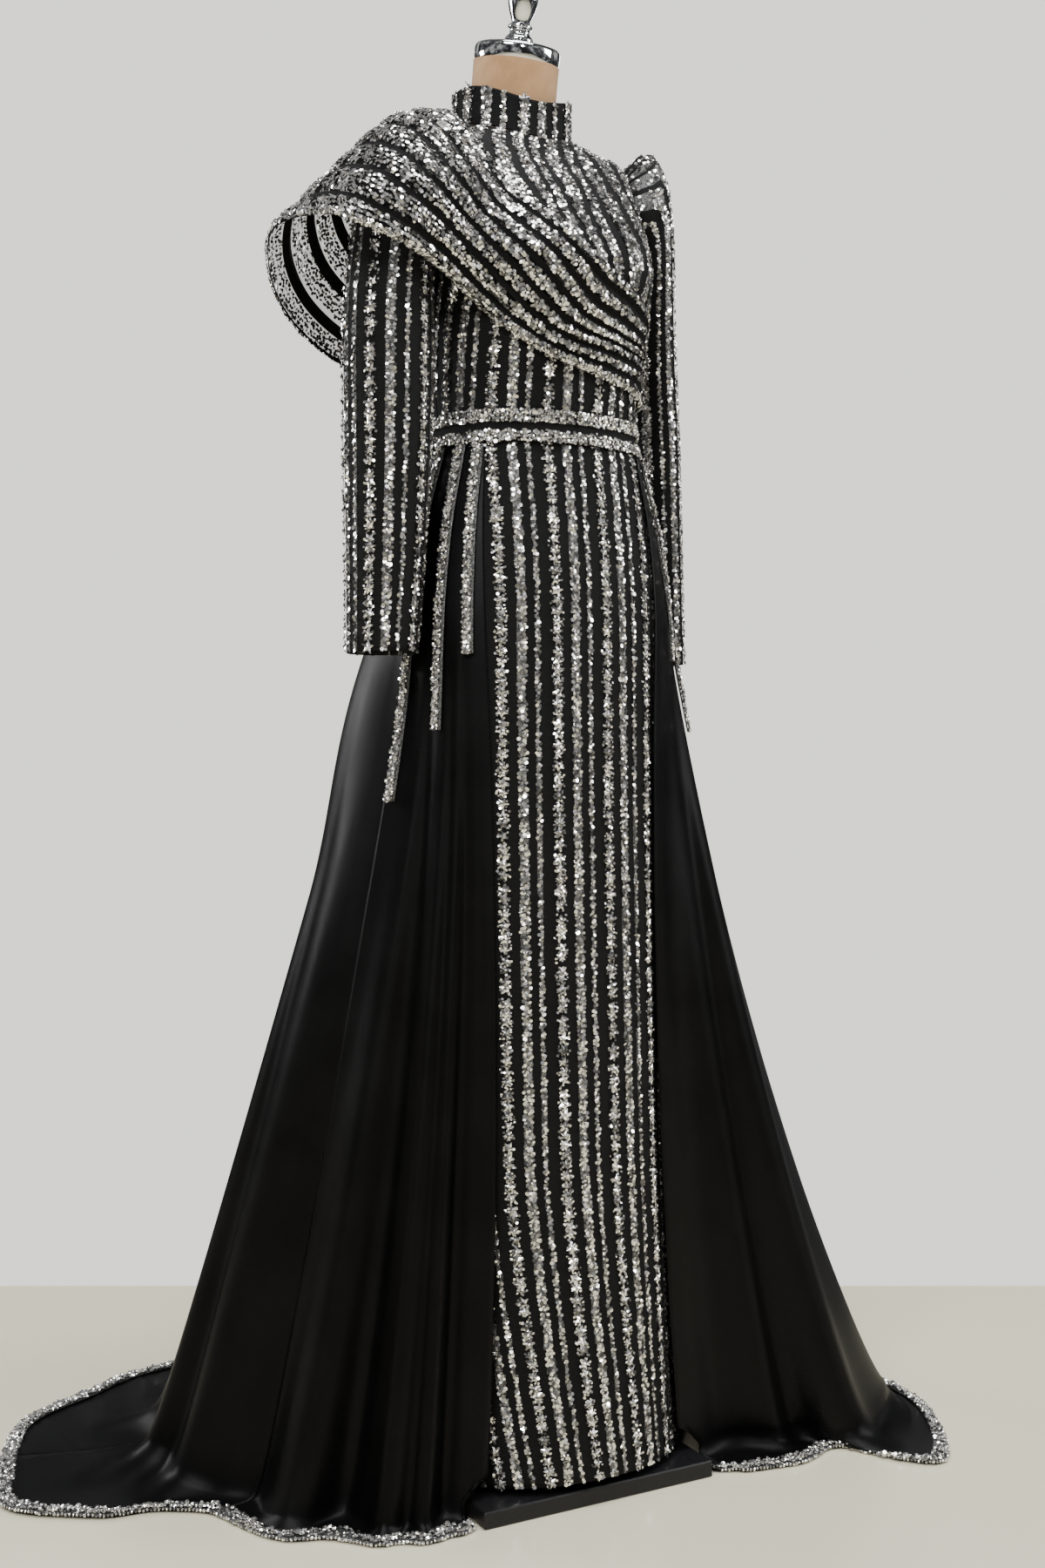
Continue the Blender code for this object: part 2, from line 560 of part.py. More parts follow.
def sleeve_ring_point(row, turn, side):
    """turn 0 is the outer or upper side, a quarter turn is the front."""
    inner, outer = Vector((row.inner_x, row.inner_z)), Vector((row.outer_x, row.outer_z))
    half = (outer - inner) / 2
    gathers = SLEEVE_GATHER_DEPTH * row.gather * math.cos(SLEEVE_GATHERS * turn)
    gathers *= max(0.0, math.cos(turn)) ** 0.5
    spot = (outer + inner) / 2 + half * math.cos(turn) * (1 + gathers / half.length)
    y = row.y - (row.half_y + gathers * 0.4) * math.sin(turn)
    return Vector((side * spot.x, y, spot.y))


def build_sleeve(name, table, side, collection):
    rows = [armhole_ring(side)]
    for row in table:
        rows.append([sleeve_ring_point(row, 2 * math.pi * index / SLEEVE_COLUMNS, side)
                     for index in range(SLEEVE_COLUMNS)])
    if side < 0:
        rows.reverse()
    add_sheet(name, rows, "beaded_net", collection, closed=True)


def build_bodice(collection):
    add_sheet("bodice_front", bodice_panel(-90, 90, True, True), "beaded_net", collection)
    add_sheet("bodice_back_left", bodice_panel(90, 180, True, False), "beaded_net", collection)
    add_sheet("bodice_back_right", bodice_panel(-180, -90, False, True), "beaded_net", collection)

    rise = Vector((0.0, 0.0, SEAM_GAP * 1.5))
    columns = range(0, 360, COLUMN_STEP)
    rows = [[ring_point(ring, math.radians(degrees)) + rise for degrees in columns]
            for ring in [BODY_RINGS[-1]] + COLLAR_RINGS]
    add_sheet("collar", rows, "beaded_net", collection, closed=True)


# ---------------------------------------------------------------- belt and column
def build_belt(collection):
    grow = LAY_GAP + BELT_WALL
    columns = range(0, 360, COLUMN_STEP)
    rows = [
        [ring_point(blended(SKIRT_RINGS, BELT_BOTTOM_PLACE), math.radians(degrees), grow)
         for degrees in columns],
        [ring_point(BODY_RINGS[0], math.radians(degrees), grow) for degrees in columns],
        [body_point(BELT_TOP_LEVEL, degrees, grow) for degrees in columns],
    ]
    add_sheet("belt", rows, "beaded_net", collection, wall=BELT_WALL, closed=True)


def skirt_point(place, degrees):
    return ring_point(blended(SKIRT_RINGS, place), math.radians(degrees))


def build_column(collection):
    places = [6.0, 5.5, 5.0, 4.0, 3.0, 2.0, 1.5, 1.0, 0.6, BELT_BOTTOM_PLACE, 0.0]
    for name, start in (("skirt_front", -90), ("skirt_back", 90)):
        columns = 180 // COLUMN_STEP
        seam = math.degrees(SEAM_GAP / 2 / SKIRT_RINGS[0].half_width) + 0.1
        rows = []
        for place in places:
            low, high = start + seam, start + 180 - seam
            rows.append([skirt_point(place, low + (high - low) * column / columns)
                         for column in range(columns + 1)])
        add_sheet(name, rows, "beaded_net", collection)


# ---------------------------------------------------------------- cape
def lying_points(row):
    """Four points from the inner to the outer edge of a station that lies on the bodice."""
    lifts = (row.lift_in, row.lift_mid, row.lift_mid, row.lift_out)
    points = []
    for index, lift in enumerate(lifts):
        share = index / 3
        level = row.inner_level + (row.outer_level - row.inner_level) * share
        angle = row.inner_angle + (row.outer_angle - row.inner_angle) * share
        points.append(on_body(level, angle, lift))
    return points


def lying_stations(table):
    """Stations that lie on the bodice, with one more between each two of the table."""
    last = len(table) - 1
    return [lying_points(LyingStation(*blend_rows(table, step / 2))) for step in range(2 * last + 1)]


def cape_stations():
    """Rows of twelve numbers: four points of each station, from the front end to the back end."""
    stations = lying_stations(CAPE_FRONT_LYING) + CAPE_FRONT_FREE + [CAPE_CREST]
    stations += CAPE_BACK_FREE + lying_stations(CAPE_BACK_LYING)
    return [[value for point in points for value in point] for points in stations]


def bodice_tree():
    """The bodice's outer side as a tree that nearest points are looked up in."""
    levels = [step * 0.2 for step in range(41)]
    turns = range(0, 360, 5)
    points = [body_point(level, degrees - (360 if degrees > 180 else 0))
              for level in levels for degrees in turns]
    count = len(turns)
    faces = []
    for row in range(len(levels) - 1):
        for column in range(count):
            following = (column + 1) % count
            faces.append((row * count + column, row * count + following,
                          (row + 1) * count + following, (row + 1) * count + column))
    return BVHTree.FromPolygons(points, faces)


def keep_off_body(tree, point, clearance):
    """Moves a point of the cape out until it clears the bodice."""
    nearest, normal, _, _ = tree.find_nearest(point)
    gap = (point - nearest).dot(normal)
    return point + normal * max(0.0, clearance - gap)


def cape_base(stations, tree, along, across):
    """Point of the cape without its pleats; along counts stations, across is 0 to 1."""
    row = blend_rows(stations, along)
    points = [row[0:3], row[3:6], row[6:9], row[9:12]]
    from_end = min(1.0, along, len(stations) - 1 - along)
    clearance = CAPE_SEWN_CLEARANCE + (CAPE_CLEARANCE - CAPE_SEWN_CLEARANCE) * from_end
    return keep_off_body(tree, Vector(blend_rows(points, across * 3)), clearance)


def cape_point(stations, tree, along, across):
    step = 0.01
    here = cape_base(stations, tree, along, across)
    last = len(stations) - 1
    ahead = cape_base(stations, tree, min(last, along + step), across)
    ahead -= cape_base(stations, tree, max(0, along - step), across)
    outward = cape_base(stations, tree, along, min(1, across + step))
    outward -= cape_base(stations, tree, along, max(0, across - step))
    normal = ahead.cross(outward).normalized()
    phase = (across * CAPE_PLEATS) % 1.0
    ridge = math.sin(math.pi * phase) ** 0.8 if 0 < phase < 1 else 0.0
    width = outward.length / (2 * step) / CAPE_PLEATS
    depth = min(CAPE_PLEAT_DEPTH, 0.24 * width)
    return here + normal * depth * ridge


def build_cape(collection):
    stations = cape_stations()
    tree = bodice_tree()
    last = len(stations) - 1
    steps = CAPE_PLEATS * 3
    for name, start, end in (("cape_front", 0, CAPE_CREST_SEAM), ("cape_back", CAPE_CREST_SEAM, last)):
        count = 18 if name == "cape_front" else 14
        columns = [start + (end - start) * index / count for index in range(count + 1)]
        seam_column = -1 if name == "cape_front" else 0
        inside = -1 if name == "cape_front" else 1
        columns[seam_column] += inside * CAPE_SEAM_SHARE
        columns[seam_column + inside] = CAPE_CREST_SEAM + inside * 0.16
        rows = []
        for index in range(steps, -1, -1):
            rows.append([cape_point(stations, tree, along, index / steps)
                         for along in reversed(columns)])
        add_sheet(name, rows, "beaded_net", collection)


# ---------------------------------------------------------------- overskirt
def gore_at(place):
    """Waist angle, touch and hem points and flare at a place round the overskirt."""
    places = [gore.at for gore in OVERSKIRT]
    index = max(0, min(len(places) - 2, bisect.bisect(places, place) - 1))
    share = (place - places[index]) / (places[index + 1] - places[index])
    rows = [(gore.waist_angle, *gore.touch, *gore.hem, gore.flare) for gore in OVERSKIRT]
    angle, touch_x, touch_y, hem_x, hem_y, flare = blend_rows(rows, index + share)
    return angle, Vector((touch_x, touch_y)), Vector((hem_x, hem_y)), flare


def fold_rise(place, drop):
    total = 0.0
    for fold in FOLDS:
        if drop > fold.start:
            grown = (min(drop, 1.0) - fold.start) / (1.0 - fold.start)
            total += fold.depth * grown ** 1.3 * bump(place - fold.at, fold.half_width)
    return total


def overskirt_base(place, drop):
    """Point without folds; drop 0 is the waist, 1 the touch line, 2 the hem."""
    angle, touch, hem, flare = gore_at(place)
    waist_radius = ring_radius(SKIRT_RINGS[0], math.radians(angle)) + HIP_CLEARANCE
    waist = Vector((math.sin(math.radians(angle)), -math.cos(math.radians(angle)))) * waist_radius
    fall = min(drop, 1.0)
    travel = flare * fall + (1.0 - flare) * fall ** 3
    spot = waist + (touch - waist) * travel
    fullness = HIP_FULLNESS * bump(place - HIP_PLACE, HIP_SPAN) * bump(fall - HIP_DROP, HIP_DEPTH)
    spot += waist.normalized() * fullness
    if drop > 1.0:
        spot = touch + (hem - touch) * (drop - 1.0)
    straight = OVERSKIRT_TOP * (1.0 - drop) if drop <= 1.0 else -0.4 * (drop - 1.0)
    softness = min(MOST_SOFTNESS, TOUCH_SOFTNESS + TRAIN_SOFTNESS * (hem - touch).length)
    height = FLOOR_LEVEL + 0.5 * (straight + math.sqrt(straight ** 2 + softness ** 2))
    height -= 0.5 * (math.sqrt(OVERSKIRT_TOP ** 2 + softness ** 2) - OVERSKIRT_TOP) * (1 - fall)
    height -= FLOOR_LEVEL * (1.0 - fall)
    turn = RIGHT_LAP_DEGREES * max(0.0, 1.0 - place / RIGHT_LAP_END)
    turn -= LEFT_LAP_DEGREES * max(0.0, (place - LEFT_LAP_START) / (1.0 - LEFT_LAP_START))
    turn = math.radians(turn) * max(0.0, math.sin(math.pi * fall)) ** 0.6
    return beside_plate(keep_off_column(spot, max(height, FLOOR_LEVEL), turn))


def keep_off_column(spot, height, turn):
    """Turns a point about the column's axis and moves it out until it clears the column."""
    ring = skirt_ring(height)
    away = Vector((spot.x, spot.y - ring.y_side))
    angle = math.atan2(away.x, -away.y) + turn
    nearest = ring_radius(ring, angle) + HIP_CLEARANCE
    softness = 0.012 * min(1.0, max(0.0, (OVERSKIRT_TOP - height) / 0.10))
    reach = smooth_max(away.length, nearest, softness)
    return Vector((reach * math.sin(angle), ring.y_side - reach * math.cos(angle), height))


def beside_plate(point):
    """Moves a front point near the floor sideways until it lies beside the base plate."""
    if point.y < 0.0 and point.z < FREE_HEIGHT:
        lean = max(0.0, (point.z - LOW_HEIGHT) / (FREE_HEIGHT - LOW_HEIGHT)) * PLATE_SLOPE
        beside = PLATE_SIZE[0] / 2 + PLATE_MARGIN - lean
        point.x = math.copysign(max(abs(point.x), beside), point.x)
    return point


def clear_column(point):
    """Moves a point of a fold's valley out where it would enter the column."""
    ring = skirt_ring(point.z)
    away = Vector((point.x, point.y - ring.y_side))
    nearest = ring_radius(ring, math.atan2(away.x, -away.y)) + HIP_CLEARANCE
    scale = max(1.0, nearest / away.length)
    return Vector((away.x * scale, ring.y_side + away.y * scale, point.z))


def overskirt_point(place, drop):
    step = 0.004
    fall = min(1.0, drop)
    ahead = overskirt_base(min(1.0, place + step), fall) - overskirt_base(max(0.0, place - step), fall)
    outward = Vector((-ahead.y, ahead.x, 0.0)).normalized()
    rise = fold_rise(place, drop)
    if drop > 1.0:
        rise *= 1.0 - FOLD_FADE * (drop - 1.0)
    return clear_column(overskirt_base(place, drop) + outward * rise)


def hem_drop(place):
    """The drop value a trim's width in from the hem."""
    _, touch, hem, _ = gore_at(place)
    return 2.0 - min(0.6, HEM_TRIM_WIDTH / max(0.001, (hem - touch).length))


def seam_share(place, drop):
    """Half a seam's width as a share of the way round the overskirt."""
    step = 0.002
    span = overskirt_base(min(1.0, place + step), drop) - overskirt_base(max(0.0, place - step), drop)
    return SEAM_GAP / 2 / (span.length / (2 * step)) * 1.5


def panel_row(low, high, columns, drop_at):
    """Row of a panel's points; drop_at gives the drop at each place."""
    start = low + (seam_share(low, drop_at(low)) if low > 0.0 else 0.0)
    end = high - (seam_share(high, drop_at(high)) if high < 1.0 else 0.0)
    places = [start + (end - start) * column / columns for column in range(columns, -1, -1)]
    return [overskirt_point(place, drop_at(place)) for place in places]


def build_overskirt(collection):
    for index, (side, columns) in enumerate(OVERSKIRT_PANELS):
        low, high = OVERSKIRT_SEAMS[index], OVERSKIRT_SEAMS[index + 1]
        trim_out = panel_row(low, high, columns, lambda place: 2.0)
        trim_in = panel_row(low, high, columns, hem_drop)
        rows = [trim_out, trim_in]
        for share in FLOOR_SHARES:
            rows.append(panel_row(low, high, columns,
                                  lambda place, share=share: 1.0 + share * (hem_drop(place) - 1.0)))
        for drop in reversed(OVERSKIRT_DROPS):
            rows.append(panel_row(low, high, columns, lambda place, drop=drop: drop))
        add_sheet("overskirt_" + side, rows, "satin", collection)

        lift = Vector((0.0, 0.0, TRIM_GAP + TRIM_WALL))
        trim = [[point + lift for point in row] for row in (trim_out, trim_in)]
        add_sheet("hem_trim_" + side, trim, "beaded_trim", collection, wall=TRIM_WALL)


# ---------------------------------------------------------------- ribbons
def drop_at_height(place, height):
    low, high = 0.0, 1.0
    for _ in range(30):
        middle = (low + high) / 2
        if overskirt_point(place, middle).z > height:
            low = middle
        else:
            high = middle
    return low


def surface_normal(place, drop):
    step = 0.003
    across = overskirt_point(min(1, place + step), drop) - overskirt_point(max(0, place - step), drop)
    down = overskirt_point(place, drop + 0.02) - overskirt_point(place, max(0.0, drop - 0.02))
    return across.cross(down).normalized()


def build_ribbons(collection):
    steps = 9
    for ribbon in RIBBONS:
        top = drop_at_height(ribbon.at, OVERSKIRT_TOP - 0.0015)
        bottom = drop_at_height(ribbon.at, ribbon.bottom)
        rows = []
        for index in range(steps + 1):
            drop = bottom + (top - bottom) * index / steps
            normal = surface_normal(ribbon.at, drop)
            stand_off = LAY_GAP + RIBBON_WALL + RIBBON_LOOSE * (1 - index / steps)
            centre = overskirt_point(ribbon.at, drop) + normal * stand_off
            sideways = Vector((-normal.y, normal.x, 0.0)).normalized() * RIBBON_WIDTH / 2
            rows.append([centre - sideways, centre, centre + sideways])
        add_sheet(ribbon.name, rows, "beaded_trim", collection, wall=RIBBON_WALL)


def main():
    for old in list(bpy.data.objects):
        bpy.data.objects.remove(old, do_unlink=True)
    collection = bpy.data.collections.new(COLLECTION_NAME)
    bpy.context.scene.collection.children.link(collection)
    build_stand(collection)
    build_form(collection)
    build_bodice(collection)
    build_sleeve("sleeve_left", SLEEVE_LEFT, 1, collection)
    build_sleeve("sleeve_right", SLEEVE_RIGHT, -1, collection)
    build_belt(collection)
    build_column(collection)
    build_cape(collection)
    build_overskirt(collection)
    build_ribbons(collection)


main()
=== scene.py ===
"""Looks of the evening gown on its dress form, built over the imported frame.

Metres, +Z up, the wearer faces -Y and the wearer's left is +X. Surfaces are grids of
points, rows run up and columns run towards +X at the front, worked out from the same
named rings and edge curves as the part's solids, only finer.
"""

import math
from collections import namedtuple

import bpy
import numpy as np
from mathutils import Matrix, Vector
from mathutils.bvhtree import BVHTree


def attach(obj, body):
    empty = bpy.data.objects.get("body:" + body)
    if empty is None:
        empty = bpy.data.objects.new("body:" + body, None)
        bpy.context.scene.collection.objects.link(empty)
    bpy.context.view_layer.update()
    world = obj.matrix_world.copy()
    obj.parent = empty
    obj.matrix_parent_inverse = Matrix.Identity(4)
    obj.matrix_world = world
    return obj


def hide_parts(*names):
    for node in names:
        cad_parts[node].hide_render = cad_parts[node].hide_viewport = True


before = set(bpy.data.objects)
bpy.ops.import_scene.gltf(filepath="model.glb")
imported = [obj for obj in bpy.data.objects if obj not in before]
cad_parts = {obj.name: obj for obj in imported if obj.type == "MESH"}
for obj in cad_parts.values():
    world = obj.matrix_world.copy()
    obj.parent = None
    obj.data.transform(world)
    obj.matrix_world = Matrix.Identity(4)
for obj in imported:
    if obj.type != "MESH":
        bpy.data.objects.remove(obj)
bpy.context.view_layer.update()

# ---------------------------------------------------------------- sizes shared with the solids
RING_POWER = 2.2                # 2 is an ellipse, more is squarer
BELT_TOP_LEVEL = 0.28           # on the bodice's rings
BELT_BOTTOM_PLACE = 0.28        # on the column's rings
OVERSKIRT_TOP = 1.1182          # just under the belt
FLOOR_LEVEL = 0.0017            # outer side of the train on the floor
NECK_TILT = math.radians(14.0)
NECK_TOP_HEIGHT = 1.5715
NECK_TOP_Y = 0.037
NECK_TOP_RADIUS = 0.0475
CAP_HEIGHT = 0.020
HEM_TRIM_WIDTH = 0.016
RIBBON_WIDTH = 0.012
HIP_CLEARANCE = 0.0034          # outer side of the column to the outer side of the overskirt
TOUCH_SOFTNESS = 0.020          # rounding of the bend onto the floor where little cloth lies there
TRAIN_SOFTNESS = 0.22           # and what each metre of lying cloth adds to it
MOST_SOFTNESS = 0.055
FLOOR_DROP = 0.4                # how steeply the lying cloth would sink if there were no floor
PLATE_BESIDE = 0.1475           # the front edges stay this far from the plate's middle
PLATE_SLOPE = 0.0225            # and lean in by this much on the way up from LOW_HEIGHT to FREE_HEIGHT
LOW_HEIGHT = 0.021
FREE_HEIGHT = 0.044
HIP_FULLNESS = 0.016            # the cloth stands out by this much over the right hip
HIP_PLACE = 0.42
HIP_SPAN = 0.14
HIP_DROP = 0.24
HIP_DEPTH = 0.20
COLUMN_SOFTNESS = 0.012         # rounding where the overskirt leaves the column
COLUMN_SOFT_DEPTH = 0.10        # this far below the waist it is fully rounded
RIGHT_LAP_END = 0.05            # the front edges swing forward over the column: on the right up to
RIGHT_LAP_DEGREES = 6.0         # this place, and on the left from LEFT_LAP_START on
LEFT_LAP_START = 0.93
LEFT_LAP_DEGREES = 11.0
LAP_POWER = 0.6
FOLD_FADE = 0.6                 # share of a fold that is gone at the hem
FLOOR_RIPPLE = 0.32             # how far a fold still stands up where it runs out on the floor
ARMHOLE_LEVEL = 5.0
ARMHOLE_HALF_ANGLE = 25.0
BUST_FULLNESS = 0.004           # how far the two cups stand out
BUST_LEVEL = 3.0
BUST_HALF_HEIGHT = 1.5          # in levels
BUST_ANGLE = 30.0
BUST_HALF_ANGLE = 28.0

Ring = namedtuple("Ring", "half_width y_front y_side y_back z_front z_side z_back")
BODY_RINGS = [
    Ring(0.116, -0.095, 0.000, 0.082, 1.140, 1.140, 1.140),  # 0 waist
    Ring(0.119, -0.102, 0.004, 0.086, 1.205, 1.205, 1.205),  # 1 ribs
    Ring(0.123, -0.110, 0.008, 0.093, 1.250, 1.250, 1.250),  # 2 under the bust
    Ring(0.133, -0.129, 0.012, 0.101, 1.312, 1.312, 1.312),  # 3 bust
    Ring(0.136, -0.112, 0.020, 0.108, 1.360, 1.360, 1.360),  # 4 armpit
    Ring(0.135, -0.078, 0.030, 0.112, 1.405, 1.412, 1.415),  # 5 upper chest
    Ring(0.134, -0.040, 0.040, 0.111, 1.438, 1.460, 1.457),  # 6 shoulder point
    Ring(0.100, -0.021, 0.046, 0.110, 1.455, 1.478, 1.481),  # 7 mid shoulder
    Ring(0.068, -0.010, 0.049, 0.107, 1.475, 1.490, 1.497),  # 8 base of the neck
]
SKIRT_RINGS = [
    Ring(0.116, -0.095, 0.000, 0.082, 1.1396, 1.1396, 1.1396),  # 0 waist
    Ring(0.137, -0.110, 0.000, 0.104, 1.040, 1.040, 1.040),     # 1 high hip
    Ring(0.150, -0.119, 0.000, 0.120, 0.940, 0.940, 0.940),     # 2 hip
    Ring(0.150, -0.123, -0.002, 0.124, 0.740, 0.740, 0.740),    # 3 thigh
    Ring(0.148, -0.134, -0.005, 0.130, 0.440, 0.440, 0.440),    # 4 knee
    Ring(0.149, -0.147, -0.008, 0.138, 0.200, 0.200, 0.200),    # 5 calf
    Ring(0.151, -0.160, -0.010, 0.142, 0.028, 0.0215, 0.0215),  # 6 hem
]
COLLAR_RINGS = [
    Ring(0.0680, -0.0100, 0.0490, 0.1070, 1.4756, 1.4906, 1.4976),
    Ring(0.0670, -0.0105, 0.0480, 0.1060, 1.4950, 1.5140, 1.5305),
    Ring(0.0670, -0.0125, 0.0465, 0.1050, 1.5145, 1.5340, 1.5600),
]
SleeveRing = namedtuple("SleeveRing", "inner_x inner_z outer_x outer_z y half_y gather")
SLEEVE_LEFT = [
    SleeveRing(0.1400, 1.362, 0.1440, 1.474, 0.022, 0.054, 1.0),
    SleeveRing(0.1420, 1.350, 0.1600, 1.487, 0.022, 0.054, 1.0),
    SleeveRing(0.1425, 1.335, 0.1740, 1.462, 0.022, 0.053, 0.8),
    SleeveRing(0.1425, 1.310, 0.1820, 1.410, 0.023, 0.053, 0.3),
    SleeveRing(0.1415, 1.275, 0.1880, 1.345, 0.027, 0.053, 0.0),
    SleeveRing(0.1430, 1.235, 0.1925, 1.255, 0.030, 0.053, 0.0),
    SleeveRing(0.1500, 1.130, 0.2000, 1.140, 0.032, 0.052, 0.0),
    SleeveRing(0.1570, 1.005, 0.2060, 1.010, 0.034, 0.050, 0.0),
    SleeveRing(0.1660, 0.894, 0.2110, 0.894, 0.033, 0.045, 0.0),
]
SLEEVE_RIGHT = [
    SleeveRing(0.1400, 1.362, 0.1440, 1.460, 0.020, 0.054, 1.0),
    SleeveRing(0.1430, 1.350, 0.1620, 1.460, 0.014, 0.054, 1.0),
    SleeveRing(0.1440, 1.335, 0.1840, 1.440, 0.004, 0.054, 0.8),
    SleeveRing(0.1440, 1.310, 0.2050, 1.398, -0.010, 0.054, 0.3),
    SleeveRing(0.1435, 1.275, 0.2230, 1.335, -0.022, 0.053, 0.0),
    SleeveRing(0.1435, 1.225, 0.2350, 1.250, -0.030, 0.052, 0.0),
    SleeveRing(0.1460, 1.120, 0.2360, 1.130, -0.032, 0.050, 0.0),
    SleeveRing(0.1530, 1.003, 0.2350, 1.007, -0.033, 0.046, 0.0),
    SleeveRing(0.1630, 0.894, 0.2350, 0.894, -0.034, 0.042, 0.0),
]
LyingStation = namedtuple(
    "LyingStation", "inner_level inner_angle outer_level outer_angle lift_in lift_mid lift_out")
CAPE_FRONT_LYING = [
    LyingStation(2.30, 87, 0.55, 87, 0.0014, 0.0020, 0.0014),
    LyingStation(2.40, 47, 0.72, 45, 0.0036, 0.0055, 0.0038),
    LyingStation(2.85, 11, 1.10, -17, 0.0036, 0.0065, 0.0042),
    LyingStation(3.50, -10, 2.20, -51, 0.0040, 0.0080, 0.0060),
]
CAPE_BACK_LYING = [
    LyingStation(4.20, 170, 1.30, 196, 0.0100, 0.0200, 0.0360),
    LyingStation(3.20, 140, 0.90, 150, 0.0060, 0.0110, 0.0150),
    LyingStation(2.30, 103, 0.55, 103, 0.0020, 0.0028, 0.0020),
]
CAPE_FRONT_FREE = [
    ((-0.062, -0.087, 1.380), (-0.100, -0.098, 1.356), (-0.137, -0.101, 1.326), (-0.172, -0.094, 1.294)),
    ((-0.080, -0.060, 1.418), (-0.132, -0.090, 1.396), (-0.184, -0.106, 1.358), (-0.232, -0.104, 1.312)),
    ((-0.096, -0.028, 1.460), (-0.156, -0.056, 1.446), (-0.222, -0.082, 1.389), (-0.282, -0.078, 1.329)),
]
CAPE_CREST = (
    (-0.088, 0.032, 1.498), (-0.153, 0.030, 1.481), (-0.219, 0.024, 1.419), (-0.304, 0.010, 1.332))
CAPE_BACK_FREE = [
    ((-0.084, 0.088, 1.496), (-0.148, 0.090, 1.467), (-0.216, 0.094, 1.394), (-0.272, 0.091, 1.297)),
    ((-0.058, 0.118, 1.476), (-0.122, 0.134, 1.434), (-0.176, 0.146, 1.350), (-0.212, 0.150, 1.263)),
    ((-0.020, 0.126, 1.428), (-0.064, 0.144, 1.376), (-0.104, 0.157, 1.306), (-0.134, 0.165, 1.232)),
]
CAPE_CREST_STATION = 10         # the station where the front and back parts meet
CAPE_SEAM_SHARE = 0.004         # half the seam's width as a share of a station
CAPE_PLEATS = 7
CAPE_PLEAT_DEPTH = 0.0050
CAPE_CLEARANCE = 0.0036         # outer side of the bodice to the outer side of the cape
CAPE_SEWN_CLEARANCE = 0.0014    # the same at the two ends, where it is sewn down
CAPE_LINE_HALF_WIDTH = 0.0036
CAPE_INNER_HALF_WIDTH = 0.0052  # the same for the back part, whose inside shows
CAPE_BAND_SHARE = 0.70          # share of a pleat up to which the back part carries sequins
CAPE_STAR_SHARE = 0.45          # share of the outermost pleat that carries stars

Gore = namedtuple("Gore", "at waist_angle touch hem flare")
OVERSKIRT = [
    Gore(0.00, -55, (-0.125, -0.125), (-0.142, -0.147), 0.80),
    Gore(0.05, -58, (-0.168, -0.124), (-0.178, -0.158), 0.80),
    Gore(0.10, -62, (-0.200, -0.118), (-0.216, -0.146), 0.80),
    Gore(0.15, -67, (-0.243, -0.092), (-0.267, -0.119), 0.80),
    Gore(0.20, -73, (-0.285, -0.056), (-0.318, -0.084), 0.82),
    Gore(0.25, -80, (-0.325, -0.010), (-0.366, -0.004), 0.84),
    Gore(0.30, -87, (-0.350, 0.056), (-0.414, 0.046), 0.97),
    Gore(0.34, -96, (-0.368, 0.100), (-0.470, 0.062), 1.00),
    Gore(0.38, -105, (-0.376, 0.137), (-0.532, 0.102), 1.00),
    Gore(0.41, -112, (-0.374, 0.170), (-0.551, 0.165), 1.00),
    Gore(0.45, -122, (-0.354, 0.214), (-0.518, 0.290), 1.00),
    Gore(0.50, -136, (-0.308, 0.280), (-0.430, 0.392), 0.94),
    Gore(0.56, -153, (-0.215, 0.360), (-0.270, 0.460), 0.78),
    Gore(0.62, -171, (-0.090, 0.405), (-0.110, 0.520), 0.74),
    Gore(0.68, -190, (0.050, 0.405), (0.060, 0.530), 0.68),
    Gore(0.74, -209, (0.190, 0.365), (0.215, 0.490), 0.64),
    Gore(0.79, -227, (0.305, 0.290), (0.345, 0.405), 0.60),
    Gore(0.84, -246, (0.382, 0.178), (0.440, 0.270), 0.66),
    Gore(0.88, -262, (0.431, 0.042), (0.486, 0.070), 0.70),
    Gore(0.91, -273, (0.413, -0.076), (0.464, -0.118), 0.77),
    Gore(0.935, -282, (0.351, -0.156), (0.387, -0.245), 0.79),
    Gore(0.955, -290, (0.274, -0.124), (0.306, -0.160), 0.80),
    Gore(0.975, -297, (0.205, -0.116), (0.232, -0.178), 0.82),
    Gore(1.00, -306, (0.110, -0.108), (0.1530, -0.150), 0.86),
]
OVERSKIRT_PANELS = [
    ("right_front", 0.0, 0.267), ("right_side", 0.267, 0.44), ("back_right", 0.44, 0.5725),
    ("back_left", 0.5725, 0.768), ("left_side", 0.768, 0.878), ("left_front", 0.878, 1.0),
]
Fold = namedtuple("Fold", "at half_width depth start")
FOLDS = [
    Fold(0.012, 0.016, 0.005, 0.15),
    Fold(0.050, 0.022, -0.012, 0.20),
    Fold(0.090, 0.026, 0.012, 0.15),
    Fold(0.130, 0.024, 0.018, 0.20),
    Fold(0.176, 0.030, -0.020, 0.10),
    Fold(0.218, 0.034, 0.020, 0.35),
    Fold(0.266, 0.028, -0.018, 0.45),
    Fold(0.332, 0.046, 0.018, 0.30),
    Fold(0.395, 0.038, 0.022, 0.15),
    Fold(0.475, 0.034, 0.024, 0.20),
    Fold(0.540, 0.034, 0.030, 0.10),
    Fold(0.605, 0.034, 0.026, 0.15),
    Fold(0.670, 0.034, 0.030, 0.10),
    Fold(0.735, 0.034, 0.026, 0.15),
    Fold(0.800, 0.034, 0.028, 0.10),
    Fold(0.852, 0.026, 0.022, 0.20),
    Fold(0.904, 0.026, 0.034, 0.30),
    Fold(0.942, 0.013, 0.014, 0.20),
    Fold(0.953, 0.009, -0.007, 0.25),
    Fold(0.963, 0.010, 0.010, 0.15),
    Fold(0.978, 0.012, -0.010, 0.15),
    Fold(0.992, 0.012, 0.006, 0.10),
]
HEM_BAND_LIFT = 0.0022
RIBBON_ROWS = 60
